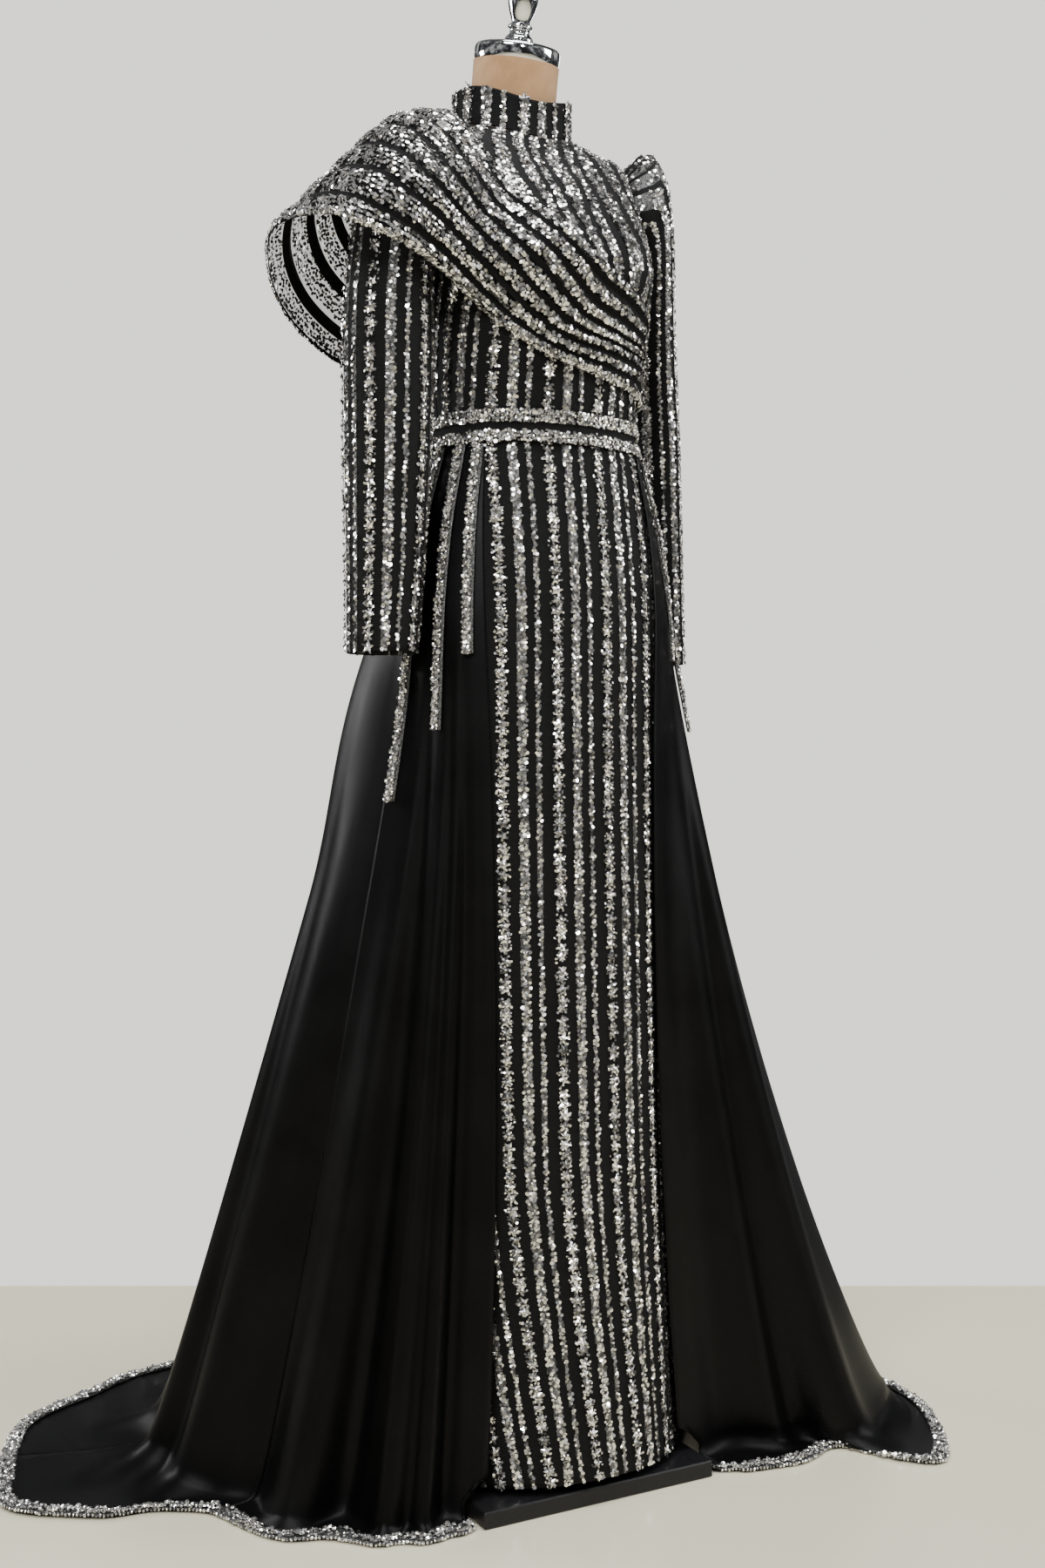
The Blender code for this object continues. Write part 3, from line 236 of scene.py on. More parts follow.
RIBBON_LIFT = 0.0023            # ribbon off the overskirt
RIBBON_LOOSE = 0.0016           # how much further off it a ribbon's lower end is
Ribbon = namedtuple("Ribbon", "name at bottom")
RIBBONS = [
    Ribbon("right_1", 0.042, 0.893),
    Ribbon("right_2", 0.150, 0.813),
    Ribbon("right_3", 0.252, 0.737),
    Ribbon("left_1", 0.962, 0.893),
    Ribbon("left_2", 0.930, 0.813),
    Ribbon("left_3", 0.865, 0.737),
]

# ---------------------------------------------------------------- stripes and sequins
STRIPE_PERIOD = 0.0605          # one wide, one medium and one narrow stripe with their gaps
Stripe = namedtuple("Stripe", "centre half_width kind")
STRIPES = [                     # centre as a share of a period, half width in metres
    Stripe(0.000, 0.0070, 3),
    Stripe(0.360, 0.0048, 2),
    Stripe(0.640, 0.0024, 1),
]
FRONT_FIRST_STRIPE = 0.033      # from a wide stripe to the middle line of the bodice's front
COLUMN_FIRST_STRIPE = 0.0345    # and of the column
BACK_FIRST_STRIPE = 0.3         # the same at the side seams, in periods
COLLAR_FIRST_STRIPE = -75.0     # a wide stripe's place on the collar, and their spacing
COLLAR_PERIOD = 60.0
SLEEVE_PERIODS = 5
SLEEVE_FIRST_STRIPE = {1: 0.12, -1: 0.42}   # and at the top line of the left and right sleeve
LEAN = 0.034                    # scale of the column stripes' lean to the wearer's left at the hem
LEAN_TOP = 0.36                 # where it starts
LEAN_HEIGHT = 0.33              # and the height over which it grows
SEWN_HALF_ANGLE = 66.0          # the column is sewn as far round as the overskirt leaves it open
SLEEVE_HEAD_ROWS = 15           # rows of the gathered head, where the stripes stand closer
HEAD_LINES = 3                  # black lines a period on the gathered head
HEAD_LINE_SHARE = 0.15          # half of such a line's width as a share of their spacing
# Black lines that fan out from the collar over the left side of the chest: each line's
# angle on the bodice at the levels of FAN_LEVELS.
FAN_LEVELS = (2.6, 3.4, 4.2, 5.2, 6.6, 8.0)
FAN_LINES = [
    (-8.0, -12.0, -18.5, -27.5, -31.0, -32.0),
    (-5.0, -9.3, -12.2, -15.5, -15.0, -12.0),
    (6.0, -1.5, -5.8, -8.0, -3.0, 7.0),
    (13.0, 6.5, 4.4, 9.5, 19.0, 32.0),
    (19.5, 15.8, 13.2, 16.8, 32.0, 46.0),
    (31.5, 33.5, 30.5, 33.0, 46.0, 62.0),
    (42.0, 48.0, 49.5, 49.5, 62.5, 80.0),
]
FAN_BLACK_SHARE = 0.20          # half of a black line's width as a share of the spacing
FAN_GROUND_MARGIN = 0.1         # and how much wider it is in the silver ground
FAN_START = -70                 # the fan ends at this angle, under the right arm
FAN_STEP_RIGHT = 16.0           # degrees between lines beyond the first one and beyond the last one
FAN_STEP_LEFT = 14.0
FLOWER_PITCH = 0.0108
FLOWER_RADIUS = 0.0068
FLOWER_JITTER = 0.18
LOOSE_SHARE = 0.26              # share of the sequins that a wide stripe keeps between its flowers
LOOSE_SIZE = 0.72               # and their size
SEQUIN_PITCH = 0.0033
SEQUIN_RADIUS = 0.0021
STONE_SHARE = 0.07              # share of the sequins that are stones instead
ROW_SPACING = 0.87              # between rows of scattered spots, as a share of their pitch
EDGE_BEAD_PITCH = 0.0040
STAR_PITCH = 0.0068
STAR_RADIUS = 0.0042
GROUND_MARGIN = 0.0006          # the silver ground ends this far inside a stripe
NET_WALL = 0.0009
CAPE_WALL = 0.0006
SATIN_WALL = 0.0011
BELT_WALL = 0.0018
BAND_WALL = 0.0008              # ground of the hem bands and the ribbons


# ---------------------------------------------------------------- curves and rings
def blend(rows, place):
    """Smooth rows between whole rows of a table; place is an array."""
    rows = np.asarray(rows, dtype=float)
    place = np.atleast_1d(np.asarray(place, dtype=float))
    last = len(rows) - 1
    index = np.clip(np.floor(place).astype(int), 0, last - 1)
    share = (place - index)[:, None]
    before, start = rows[np.maximum(0, index - 1)], rows[index]
    end, after = rows[index + 1], rows[np.minimum(last, index + 2)]
    return 0.5 * (2 * start + (end - before) * share
                  + (2 * before - 5 * start + 4 * end - after) * share ** 2
                  + (3 * start - before - 3 * end + after) * share ** 3)


def bump(offset, half_width):
    """A raised cosine: 1 in the middle, 0 at half_width and beyond."""
    inside = np.abs(offset) < half_width
    return np.where(inside, 0.5 + 0.5 * np.cos(np.pi * offset / half_width), 0.0)


def ring_radius(ring, angle):
    half_width, y_front, y_side, y_back = ring[..., 0], ring[..., 1], ring[..., 2], ring[..., 3]
    depth = np.where(np.cos(angle) > 0, y_side - y_front, y_back - y_side)
    across = (np.abs(np.sin(angle)) / half_width) ** RING_POWER
    along = (np.abs(np.cos(angle)) / depth) ** RING_POWER
    return (across + along) ** (-1.0 / RING_POWER)


def ring_points(ring, angle, grow=0.0):
    """Points of rings, one ring row to each angle."""
    reach = ring_radius(ring, angle) + grow
    end_z = np.where(np.cos(angle) > 0, ring[..., 4], ring[..., 6])
    height = ring[..., 5] + (end_z - ring[..., 5]) * np.cos(angle) ** 2
    return np.stack([reach * np.sin(angle), ring[..., 2] - reach * np.cos(angle), height], -1)


def table_points(table, place, degrees, grow=0.0):
    place, degrees, grow = np.broadcast_arrays(place, degrees, grow)
    points = ring_points(blend(table, place.ravel()), np.radians(degrees.ravel()), grow.ravel())
    return points.reshape(place.shape + (3,))


def body_points(level, degrees, grow=0.0):
    level, degrees, grow = np.broadcast_arrays(level, degrees, grow)
    cup = bump(level - BUST_LEVEL, BUST_HALF_HEIGHT) * bump(np.abs(degrees) - BUST_ANGLE, BUST_HALF_ANGLE)
    return table_points(BODY_RINGS, level, degrees, grow + BUST_FULLNESS * cup)


def on_body(level, degrees, lift):
    """Point that stands lift off the bodice's outer side."""
    step = 0.02
    up = body_points(min(8, level + step), degrees) - body_points(max(0, level - step), degrees)
    about = body_points(level, degrees + 1) - body_points(level, degrees - 1)
    return body_points(level, degrees) + unit(np.cross(about, up)) * lift


def skirt_ring(height):
    """Rings of the column at heights."""
    sides = np.array([ring.z_side for ring in SKIRT_RINGS])
    place = np.interp(-height, -sides, np.arange(len(sides)))
    ring = blend(SKIRT_RINGS, place)
    ring[:, 4:7] = height[:, None]
    return ring


# ---------------------------------------------------------------- grids
def unit(vectors):
    return vectors / np.maximum(1e-12, np.linalg.norm(vectors, axis=-1, keepdims=True))


def arc_lengths(points):
    """Length along a line of points, from its start to each point."""
    return np.concatenate([[0.0], np.cumsum(np.linalg.norm(np.diff(points, axis=0), axis=1))])


def grid_normals(grid):
    return unit(np.cross(np.gradient(grid, axis=1), np.gradient(grid, axis=0)))


def closed_grid(grid):
    """Grid with its first column again at the end."""
    return np.concatenate([grid, grid[:, :1]], axis=1)


def sample(values, row, column):
    """Points of a grid at fractional rows and columns."""
    low_row = np.clip(np.floor(row).astype(int), 0, values.shape[0] - 2)
    low_column = np.clip(np.floor(column).astype(int), 0, values.shape[1] - 2)
    up, across = (row - low_row)[:, None], (column - low_column)[:, None]
    near = values[low_row, low_column] * (1 - across) + values[low_row, low_column + 1] * across
    far = values[low_row + 1, low_column] * (1 - across) + values[low_row + 1, low_column + 1] * across
    return near * (1 - up) + far * up


def sample_number(values, row, column):
    """The same for a grid that holds one number at each point."""
    return sample(values[:, :, None], row, column)[:, 0]


def row_arcs(grid, reference):
    """Length along each row from the reference column, for every point of the grid."""
    steps = np.linalg.norm(np.diff(grid, axis=1), axis=2)
    arcs = np.concatenate([np.zeros((len(grid), 1)), np.cumsum(steps, axis=1)], axis=1)
    low = int(math.floor(reference))
    share = reference - low
    zero = arcs[:, low]
    if share:
        zero = zero + (arcs[:, low + 1] - zero) * share
    return arcs - zero[:, None]


def scatter(grid, pitch, random, jitter=0.30):
    """Fractional rows and columns of spots about one pitch apart all over a grid."""
    rises = arc_lengths(grid[:, grid.shape[1] // 2])
    count = max(1, int(rises[-1] / (pitch * ROW_SPACING)))
    row_list, column_list = [], []
    for line in range(count):
        at = (line + 0.5) / count * rises[-1]
        row = np.interp(at, rises, np.arange(len(rises)))
        low = min(len(grid) - 2, int(row))
        arcs = arc_lengths(grid[low] + (grid[low + 1] - grid[low]) * (row - low))
        spots = max(1, int(arcs[-1] / pitch))
        places = (np.arange(spots) + 0.5 + 0.25 * (line % 2 * 2 - 1)) * pitch
        places = places + random.uniform(-jitter, jitter, spots) * pitch
        column_list.append(np.interp(places, arcs, np.arange(len(arcs))))
        rows = row + random.uniform(-jitter, jitter, spots) * pitch * len(grid) / rises[-1]
        row_list.append(np.clip(rows, 0, len(grid) - 1.001))
    return np.concatenate(row_list), np.concatenate(column_list)


def stripe_kind(phase, margin=0.0):
    """0 on black, else the kind of the stripe that holds each phase (counted in periods)."""
    turn = np.mod(phase, 1.0)
    kind = np.zeros(turn.shape, dtype=int)
    for stripe in STRIPES:
        offset = np.abs(np.mod(turn - stripe.centre + 0.5, 1.0) - 0.5) * STRIPE_PERIOD
        kind[offset < stripe.half_width - margin] = stripe.kind
    return kind


# ---------------------------------------------------------------- materials
def set_sockets(node, values):
    """Sets inputs by name; a name has underscores where the socket's own has spaces."""
    for name, value in values.items():
        node.inputs[name.replace("_", " ")].default_value = value


def new_material(name, **values):
    material = bpy.data.materials.new(name)
    material.use_nodes = True
    tree = material.node_tree
    shader = tree.nodes["Principled BSDF"]
    set_sockets(shader, values)
    return material, tree, shader


def add_texture(tree, kind, output="Fac", over="Object", **values):
    """Output of a texture over the piece's own coordinates."""
    texture = tree.nodes.new(kind)
    set_sockets(texture, values)
    source = tree.nodes.get("Texture Coordinate") or tree.nodes.new("ShaderNodeTexCoord")
    tree.links.new(source.outputs[over], texture.inputs["Vector"])
    return texture.outputs[output]


def add_noise(tree, scale, detail, **values):
    return add_texture(tree, "ShaderNodeTexNoise", Scale=scale, Detail=detail, **values)


def add_weave(tree, direction, scale, distortion=0.0):
    """Threads that run across a direction."""
    threads = add_texture(tree, "ShaderNodeTexWave", Scale=scale, Distortion=distortion)
    threads.node.bands_direction = direction
    return threads


def drive(tree, node, socket, source, *stops):
    """Lets a ramp over source set a socket; a stop is a position and a grey or a colour."""
    ramp = tree.nodes.new("ShaderNodeValToRGB")
    elements = ramp.color_ramp.elements
    while len(elements) < len(stops):
        elements.new(0.5)
    for element, (position, value) in zip(elements, stops):
        element.position = position
        element.color = (*np.broadcast_to(value, 3), 1.0)
    tree.links.new(source, ramp.inputs["Fac"])
    tree.links.new(ramp.outputs["Color"], node.inputs[socket])


def add_bump(tree, shader, height, distance, strength=1.0):
    node = tree.nodes.new("ShaderNodeBump")
    set_sockets(node, {"Distance": distance, "Strength": strength})
    tree.links.new(height, node.inputs["Height"])
    tree.links.new(node.outputs["Normal"], shader.inputs["Normal"])


def sequin_material(name, dark, light, warm):
    """Polished foil sequins: each one has a tone and a polish of its own."""
    material, tree, shader = new_material(name, Metallic=0.92)
    island = tree.nodes.new("ShaderNodeNewGeometry").outputs["Random Per Island"]
    half = light * 0.5
    drive(tree, shader, "Base Color", island,
          (0.00, (dark, dark, dark * 1.02)),
          (0.28, (half, half * 0.99, half * 0.98)),
          (0.55, (light, light * 0.985, light * 0.95)),
          (0.75, (light, light * warm, light * warm * 0.92)),
          (0.88, (0.98, 0.975, 0.95)))
    drive(tree, shader, "Roughness", island, (0.0, 0.32), (0.5, 0.20), (1.0, 0.10))
    return material


def ground_material():
    """Silver thread and the smallest beads that show between the sequins."""
    material, tree, shader = new_material("silver_ground", Roughness=0.42, Metallic=0.55)
    grain = add_noise(tree, 900.0, 2.0, Roughness=0.7)
    drive(tree, shader, "Base Color", grain,
          (0.36, (0.006, 0.006, 0.007)), (0.52, 0.06), (0.70, (0.40, 0.40, 0.39)))
    add_bump(tree, shader, grain, 0.0010)
    return material


def net_material(name, alpha=1.0):
    """Black tulle on its lining: a fine diamond mesh."""
    material, tree, shader = new_material(name, Roughness=0.80, Specular_IOR_Level=0.18, Alpha=alpha)
    holes = add_texture(tree, "ShaderNodeTexVoronoi", "Distance", Scale=700.0)
    drive(tree, shader, "Base Color", holes,
          (0.15, (0.0060, 0.0060, 0.0065)), (0.6, (0.0018, 0.0018, 0.0020)))
    add_bump(tree, shader, add_weave(tree, "DIAGONAL", 260.0), 0.0004, 0.6)
    return material


def satin_material():
    material, tree, shader = new_material("black_satin", Specular_IOR_Level=0.11)
    slub = add_noise(tree, 14.0, 4.0)
    drive(tree, shader, "Base Color", slub,
          (0.35, (0.0012, 0.0012, 0.0014)), (0.65, (0.0022, 0.0022, 0.0025)))
    drive(tree, shader, "Roughness", slub, (0.3, 0.34), (0.7, 0.42))
    add_bump(tree, shader, add_weave(tree, "DIAGONAL", 420.0, 1.5), 0.00012, 0.5)
    return material


def linen_material():
    material, tree, shader = new_material("beige_linen", Roughness=0.85, Sheen_Weight=0.2)
    drive(tree, shader, "Base Color", add_noise(tree, 60.0, 6.0),
          (0.3, (0.44, 0.245, 0.11)), (0.7, (0.53, 0.31, 0.15)))
    cloth = tree.nodes.new("ShaderNodeMath")
    cloth.operation = "MULTIPLY"
    for socket, direction in zip(cloth.inputs, "XZ"):
        tree.links.new(add_weave(tree, direction, 330.0, 2.0), socket)
    add_bump(tree, shader, cloth.outputs["Value"], 0.0003, 0.7)
    return material


def chrome_material():
    material, tree, shader = new_material("polished_chrome", Metallic=1.0,
                                          Base_Color=(0.80, 0.81, 0.82, 1.0))
    drive(tree, shader, "Roughness", add_noise(tree, 45.0, 5.0), (0.35, 0.035), (0.75, 0.09))
    return material


def plate_material():
    material, tree, shader = new_material("black_painted_steel", Specular_IOR_Level=0.28)
    grain = add_noise(tree, 220.0, 4.0)
    drive(tree, shader, "Base Color", grain, (0.3, (0.005, 0.005, 0.006)), (0.7, (0.010, 0.010, 0.011)))
    drive(tree, shader, "Roughness", grain, (0.3, 0.34), (0.7, 0.46))
    add_bump(tree, shader, grain, 0.00015, 0.4)
    return material


NET = net_material("black_net")
SHEER = net_material("sheer_net", alpha=0.30)
LINE = net_material("black_line")
GROUND = ground_material()
SEQUINS = sequin_material("silver_sequins", 0.07, 0.80, 0.94)
BEADS = sequin_material("silver_beads", 0.16, 0.80, 0.96)
SATIN = satin_material()
LINEN = linen_material()
CHROME = chrome_material()
PLATE = plate_material()


# ---------------------------------------------------------------- meshes
def link_piece(name, mesh, materials):
    piece = bpy.data.objects.new(name, mesh)
    for material in materials:
        mesh.materials.append(material)
    bpy.context.scene.collection.objects.link(piece)
    return piece


def fix_piece(piece, slot, *nodes):
    """Lets a piece ride on the part, in place of the solids it stands for; slot is not used."""
    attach(piece, "root")
    if nodes:
        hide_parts(*nodes)
    return piece


def grid_faces(rows, columns, closed=False):
    """Four-cornered faces between the points of a grid, row by row."""
    faces = []
    for row in range(rows - 1):
        base = row * columns
        for column in range(columns if closed else columns - 1):
            following = (column + 1) % columns
            faces.append((base + column, base + following,
                          base + columns + following, base + columns + column))
    return faces


def grid_piece(name, grid, materials, wall, closed=False, face_kinds=None):
    """Sheet through a grid; face_kinds gives each face's material."""
    mesh = bpy.data.meshes.new(name)
    mesh.from_pydata(grid.reshape(-1, 3).tolist(), [], grid_faces(*grid.shape[:2], closed))
    if face_kinds is not None:
        mesh.polygons.foreach_set("material_index", np.asarray(face_kinds, dtype=np.int32).ravel())
    mesh.shade_smooth()
    piece = link_piece(name, mesh, materials)
    solidify = piece.modifiers.new("wall", "SOLIDIFY")
    solidify.thickness = wall
    solidify.offset = -1.0
    return piece


def capped_piece(name, grid, material, crease):
    """Closed grid with a face over each end, sharp where faces meet at more than crease degrees."""
    rows, columns = grid.shape[:2]
    count = rows * columns
    faces = [tuple(reversed(range(columns)))]
    faces += grid_faces(rows, columns, True)
    faces.append(tuple(range(count - columns, count)))
    mesh = bpy.data.meshes.new(name)
    mesh.from_pydata(grid.reshape(-1, 3).tolist(), [], faces)
    mesh.shade_smooth()
    mesh.set_sharp_from_angle(angle=math.radians(crease))
    return link_piece(name, mesh, [material])


def polygon_ring(count, radius=1.0, height=0.0, turn=0.0):
    angles = [2 * math.pi * (index + turn) / count for index in range(count)]
    return [(radius * math.cos(angle), radius * math.sin(angle), height) for angle in angles]


def disc_shape():
    """Flat six-sided sequin."""
    return np.array(polygon_ring(6)), [tuple(range(6))]


def star_shape():
    """Five-pointed star with a raised middle."""
    points = []
    for tip, notch in zip(polygon_ring(5), polygon_ring(5, 0.52, 0.0, 0.5)):
        points += [tip, notch]
    points.append((0.0, 0.0, 0.30))
    return np.array(points), [(index, (index + 1) % 10, 10) for index in range(10)]


def cut_shape(radius, height, girdle=0.0, foot=None):
    """Six-sided cut with a flat table; foot is a smaller ring's radius and height below."""
    points = polygon_ring(6, 1.0, girdle) + polygon_ring(6, radius, height, 0.5)
    if foot:
        points += polygon_ring(6, *foot, 0.5)
    faces = [tuple(range(6, 12))]
    for index in range(6):
        following = (index + 1) % 6
        faces.append((index, following, 6 + index))
        faces.append((following, 6 + following, 6 + index))
        if foot:
            faces.append((12 + index, 12 + following, following))
            faces.append((12 + index, following, index))
    return np.array(points), faces


DISC = disc_shape()
STAR = star_shape()
STONE = cut_shape(0.55, 0.55)
BEAD = cut_shape(0.62, 0.95, 0.35, (0.6, -0.35))


def oriented(shape, centres, normals, radii, tilt, random):
    """Copies of a shape on a surface, each with its own turn and tilt."""
    count = len(centres)
    jitter = random.normal(0.0, 1.0, (count, 3)) * np.tan(tilt)
    up = unit(normals + jitter * np.sqrt(1.0 / 3.0))
    side = unit(np.cross(up, random.normal(0.0, 1.0, (count, 3))))
    third = np.cross(up, side)
    local = shape[0][None, :, :] * radii[:, None, None]
    return (centres[:, None, :] + local[:, :, 0:1] * side[:, None, :]
            + local[:, :, 1:2] * third[:, None, :] + local[:, :, 2:3] * up[:, None, :])


class Scattering:
    """Gathers many small shapes into one mesh."""

    def __init__(self, seed):
        self.random = np.random.default_rng(seed)
        self.points, self.faces, self.total = [], [], 0

    def add(self, shape, centres, normals, radii, tilt):
        """Adds copies of a shape; tilt is their usual lean in degrees."""
        if not len(centres):
            return
        points = oriented(shape, centres, normals, radii, math.radians(tilt), self.random)
        size = points.shape[1]
        for index in range(len(centres)):
            start = self.total + index * size
            self.faces.extend([tuple(start + corner for corner in face) for face in shape[1]])
        self.points.append(points.reshape(-1, 3))
        self.total += len(centres) * size

    def piece(self, name, material):
        mesh = bpy.data.meshes.new(name)
        mesh.from_pydata(np.concatenate(self.points).tolist(), [], self.faces)
        return link_piece(name, mesh, [material])


# ---------------------------------------------------------------- sequins on a striped sheet
def middle_spots(grid, phase, random):
    """Fractional rows and columns one flower apart on the middle lines of the wide stripes."""
    rises = arc_lengths(grid[:, grid.shape[1] // 2])
    rows, columns = [], []
    for spot in np.arange(FLOWER_PITCH / 2, rises[-1], FLOWER_PITCH):
        row = np.interp(spot, rises, np.arange(len(rises)))
        low = min(len(grid) - 2, int(row))
        values = phase[low] + (phase[low + 1] - phase[low]) * (row - low)
        for count in range(math.ceil(values.min()), math.floor(values.max()) + 1):
            shift = random.uniform(-FLOWER_JITTER, FLOWER_JITTER) * FLOWER_PITCH
            rows.append(row + shift * len(grid) / rises[-1])
            columns.append(np.interp(count, values, np.arange(len(values))))
    return np.clip(np.array(rows), 0, len(grid) - 1.001), np.array(columns)


def wide_spots(grid, normals, kind_at, spots):
    """Points and normals of those spots that lie on a wide stripe."""
    row, column = spots
    wide = kind_at(row, column) == 3
    return sample(grid, row[wide], column[wide]), sample(normals, row[wide], column[wide])


def add_flowers(scattering, grid, normals, kind_at, phase):
    """A star with a stone in the middle and a sequin at each point, along each wide stripe."""
    random = scattering.random
    spots = middle_spots(grid, phase, random)
    centres, outward = wide_spots(grid, normals, kind_at, spots)
    radii = FLOWER_RADIUS * random.uniform(0.82, 1.08, len(centres))
    scattering.add(STAR, centres + outward * 0.0012, outward, radii, 9)
    scattering.add(STONE, centres + outward * 0.0028, outward, radii * 0.30, 6)
    across = unit(np.cross(outward, (0.0, 0.0, 1.0)))
    along = np.cross(across, outward)
    turn = random.uniform(0.0, 2 * np.pi, len(centres))
    for point in range(5):
        angle = turn + 2 * np.pi * point / 5
        reach = (radii * random.uniform(0.72, 1.0, len(centres)))[:, None]
        spot = centres + (across * np.cos(angle)[:, None] + along * np.sin(angle)[:, None]) * reach
        small = random.uniform(0.0011, 0.0017, len(centres))
        scattering.add(DISC, spot + outward * 0.0020, outward, small, 26)


def add_stars(scattering, grid, normals, kind_at):
    """Stars all over the wide stripes."""
    random = scattering.random
    spots = scatter(grid, STAR_PITCH, random, 0.22)
    centres, outward = wide_spots(grid, normals, kind_at, spots)
    radii = STAR_RADIUS * random.uniform(0.8, 1.1, len(centres))
    scattering.add(STAR, centres + outward * 0.0022, outward, radii, 12)


def sew_stripes(name, grid, kind_at, seed, phase=None):
    """Sequins, stars and stones along stripes; kind_at(row, column) gives the stripe's kind.

    Where phase counts the stripes, the wide ones carry a row of flowers on black net.
    """
    scattering = Scattering(seed)
    random = scattering.random
    normals = grid_normals(grid)
    row, column = scatter(grid, SEQUIN_PITCH, random)
    kind = kind_at(row, column)
    keep = kind > 0
    if phase is not None:
        keep &= (kind < 3) | (random.uniform(0.0, 1.0, len(row)) < LOOSE_SHARE)
    row, column, kind = row[keep], column[keep], kind[keep]
    centres, outward = sample(grid, row, column), sample(normals, row, column)
    lift = random.uniform(0.0004, 0.0016, len(row))
    radii = SEQUIN_RADIUS * random.uniform(0.75, 1.15, len(row))
    if phase is not None:
        radii = np.where(kind == 3, radii * LOOSE_SIZE, radii)
    stones = random.uniform(0.0, 1.0, len(row)) > 1 - STONE_SHARE
    centres = centres + outward * lift[:, None]
    scattering.add(DISC, centres[~stones], outward[~stones], radii[~stones], 24)
    scattering.add(STONE, centres[stones], outward[stones], radii[stones] * 1.05, 10)
    if phase is not None:
        add_flowers(scattering, grid, normals, kind_at, phase)
    else:
        add_stars(scattering, grid, normals, kind_at)
    return scattering.piece(name, SEQUINS)


def face_values(values):
    """Values of a grid's points at the middles of its faces."""
    return (values[1:, 1:] + values[:-1, 1:] + values[1:, :-1] + values[:-1, :-1]) / 4


def phase_sampler(phase):
    """A kind_at function for a grid of phases."""
    def kind_at(row, column):
        return stripe_kind(sample_number(phase, row, column))
    return kind_at


def ground_faces(phase):
    """Silver ground under the beaded stripes; the wide ones with the flowers stay black."""
    kind = stripe_kind(face_values(phase), GROUND_MARGIN)
    return ((kind > 0) & (kind < 3)).astype(int)


def dress_sheet(name, grid, kinds, kind_at, seed, wall=NET_WALL, closed=False,
                materials=(NET, GROUND), phase=None):
    """A striped piece: its net with silver ground under the stripes, and the sequins on it."""
    full = closed_grid(grid) if closed else grid
    piece = grid_piece("net_" + name, grid, materials, wall, closed, kinds)
    fix_piece(piece, "beaded_net", name)
    if kind_at is not None:
        sequins = sew_stripes("sequins_" + name, full, kind_at, seed, phase)
        fix_piece(sequins, "beaded_net")


# ---------------------------------------------------------------- bodice and collar
BodicePanel = namedtuple("BodicePanel", "name start end armhole_at_start armhole_at_end columns seed")
BODICE_PANELS = [
    BodicePanel("bodice_front", -90, 90, 1, 1, 121, 11),
    BodicePanel("bodice_back_left", 90, 180, 1, 0, 61, 12),
    BodicePanel("bodice_back_right", -180, -90, 0, 1, 61, 13),
]
BODICE_SEAM = 0.22           # degrees from a seam's middle to the panel's edge


def bodice_rows():
    """Level and armhole opening of each row."""
    rows = [(level, 0.0) for level in np.linspace(BELT_TOP_LEVEL * 0.2, 3.9, 40)]
    for turn in np.radians(np.linspace(-90, 90, 23)):
        rows.append((ARMHOLE_LEVEL + math.sin(turn), ARMHOLE_HALF_ANGLE * math.cos(turn)))
    rows += [(level, 0.0) for level in (6.12, 6.25, 6.4, 6.6, 6.8, 7.0, 7.25, 7.5, 7.75, 8.0)]
    return rows


def cape_middle_level(degrees):
    """Level of the cape's middle line on the bodice at an angle."""
    return np.interp(degrees, [-60, -30, -3, 46, 87], [4.6, 2.85, 1.98, 1.56, 1.42])


def on_fan(levels, degrees):
    return (levels > cape_middle_level(degrees)) & (degrees > FAN_START)


def fan_phase(level, degrees):
    """Counts the fan's black lines: a whole number on each line, more towards the left arm."""
    lines = [np.interp(level, FAN_LEVELS, line) for line in FAN_LINES]
    phase = np.where(degrees < lines[0], (degrees - lines[0]) / FAN_STEP_RIGHT, 0.0)
    for index in range(len(lines) - 1):
        share = (degrees - lines[index]) / (lines[index + 1] - lines[index])
        phase = np.where(share >= 0, index + np.minimum(share, 1.0), phase)
    beyond = len(lines) - 1 + (degrees - lines[-1]) / FAN_STEP_LEFT
    return np.where(degrees > lines[-1], beyond, phase)


def fan_kinds(phase, margin=0.0):
    """Stripes of the fan, beaded all over between its black lines."""
    offset = np.abs(phase - np.round(phase))
    return np.where(offset > FAN_BLACK_SHARE + margin, 2, 0)


def dress_front(name, grid, levels, degrees, seed):
    """Bodice front: a fan of stripes over the cape, and upright stripes under it."""
    upright = (row_arcs(grid, grid.shape[1] / 2 - 0.5) + FRONT_FIRST_STRIPE) / STRIPE_PERIOD
    fan = fan_phase(levels, degrees)

    def kind_at(row, column):
        here, angle = sample_number(levels, row, column), sample_number(degrees, row, column)
        fanned = fan_kinds(sample_number(fan, row, column))
        return np.where(on_fan(here, angle), fanned, stripe_kind(sample_number(upright, row, column)))

    above = face_values(on_fan(levels, degrees).astype(float)) > 0.5
    fanned = fan_kinds(face_values(fan), FAN_GROUND_MARGIN) > 0
    kinds = np.where(above, fanned, ground_faces(upright)).astype(int)
    dress_sheet(name, grid, kinds, kind_at, seed, phase=upright)


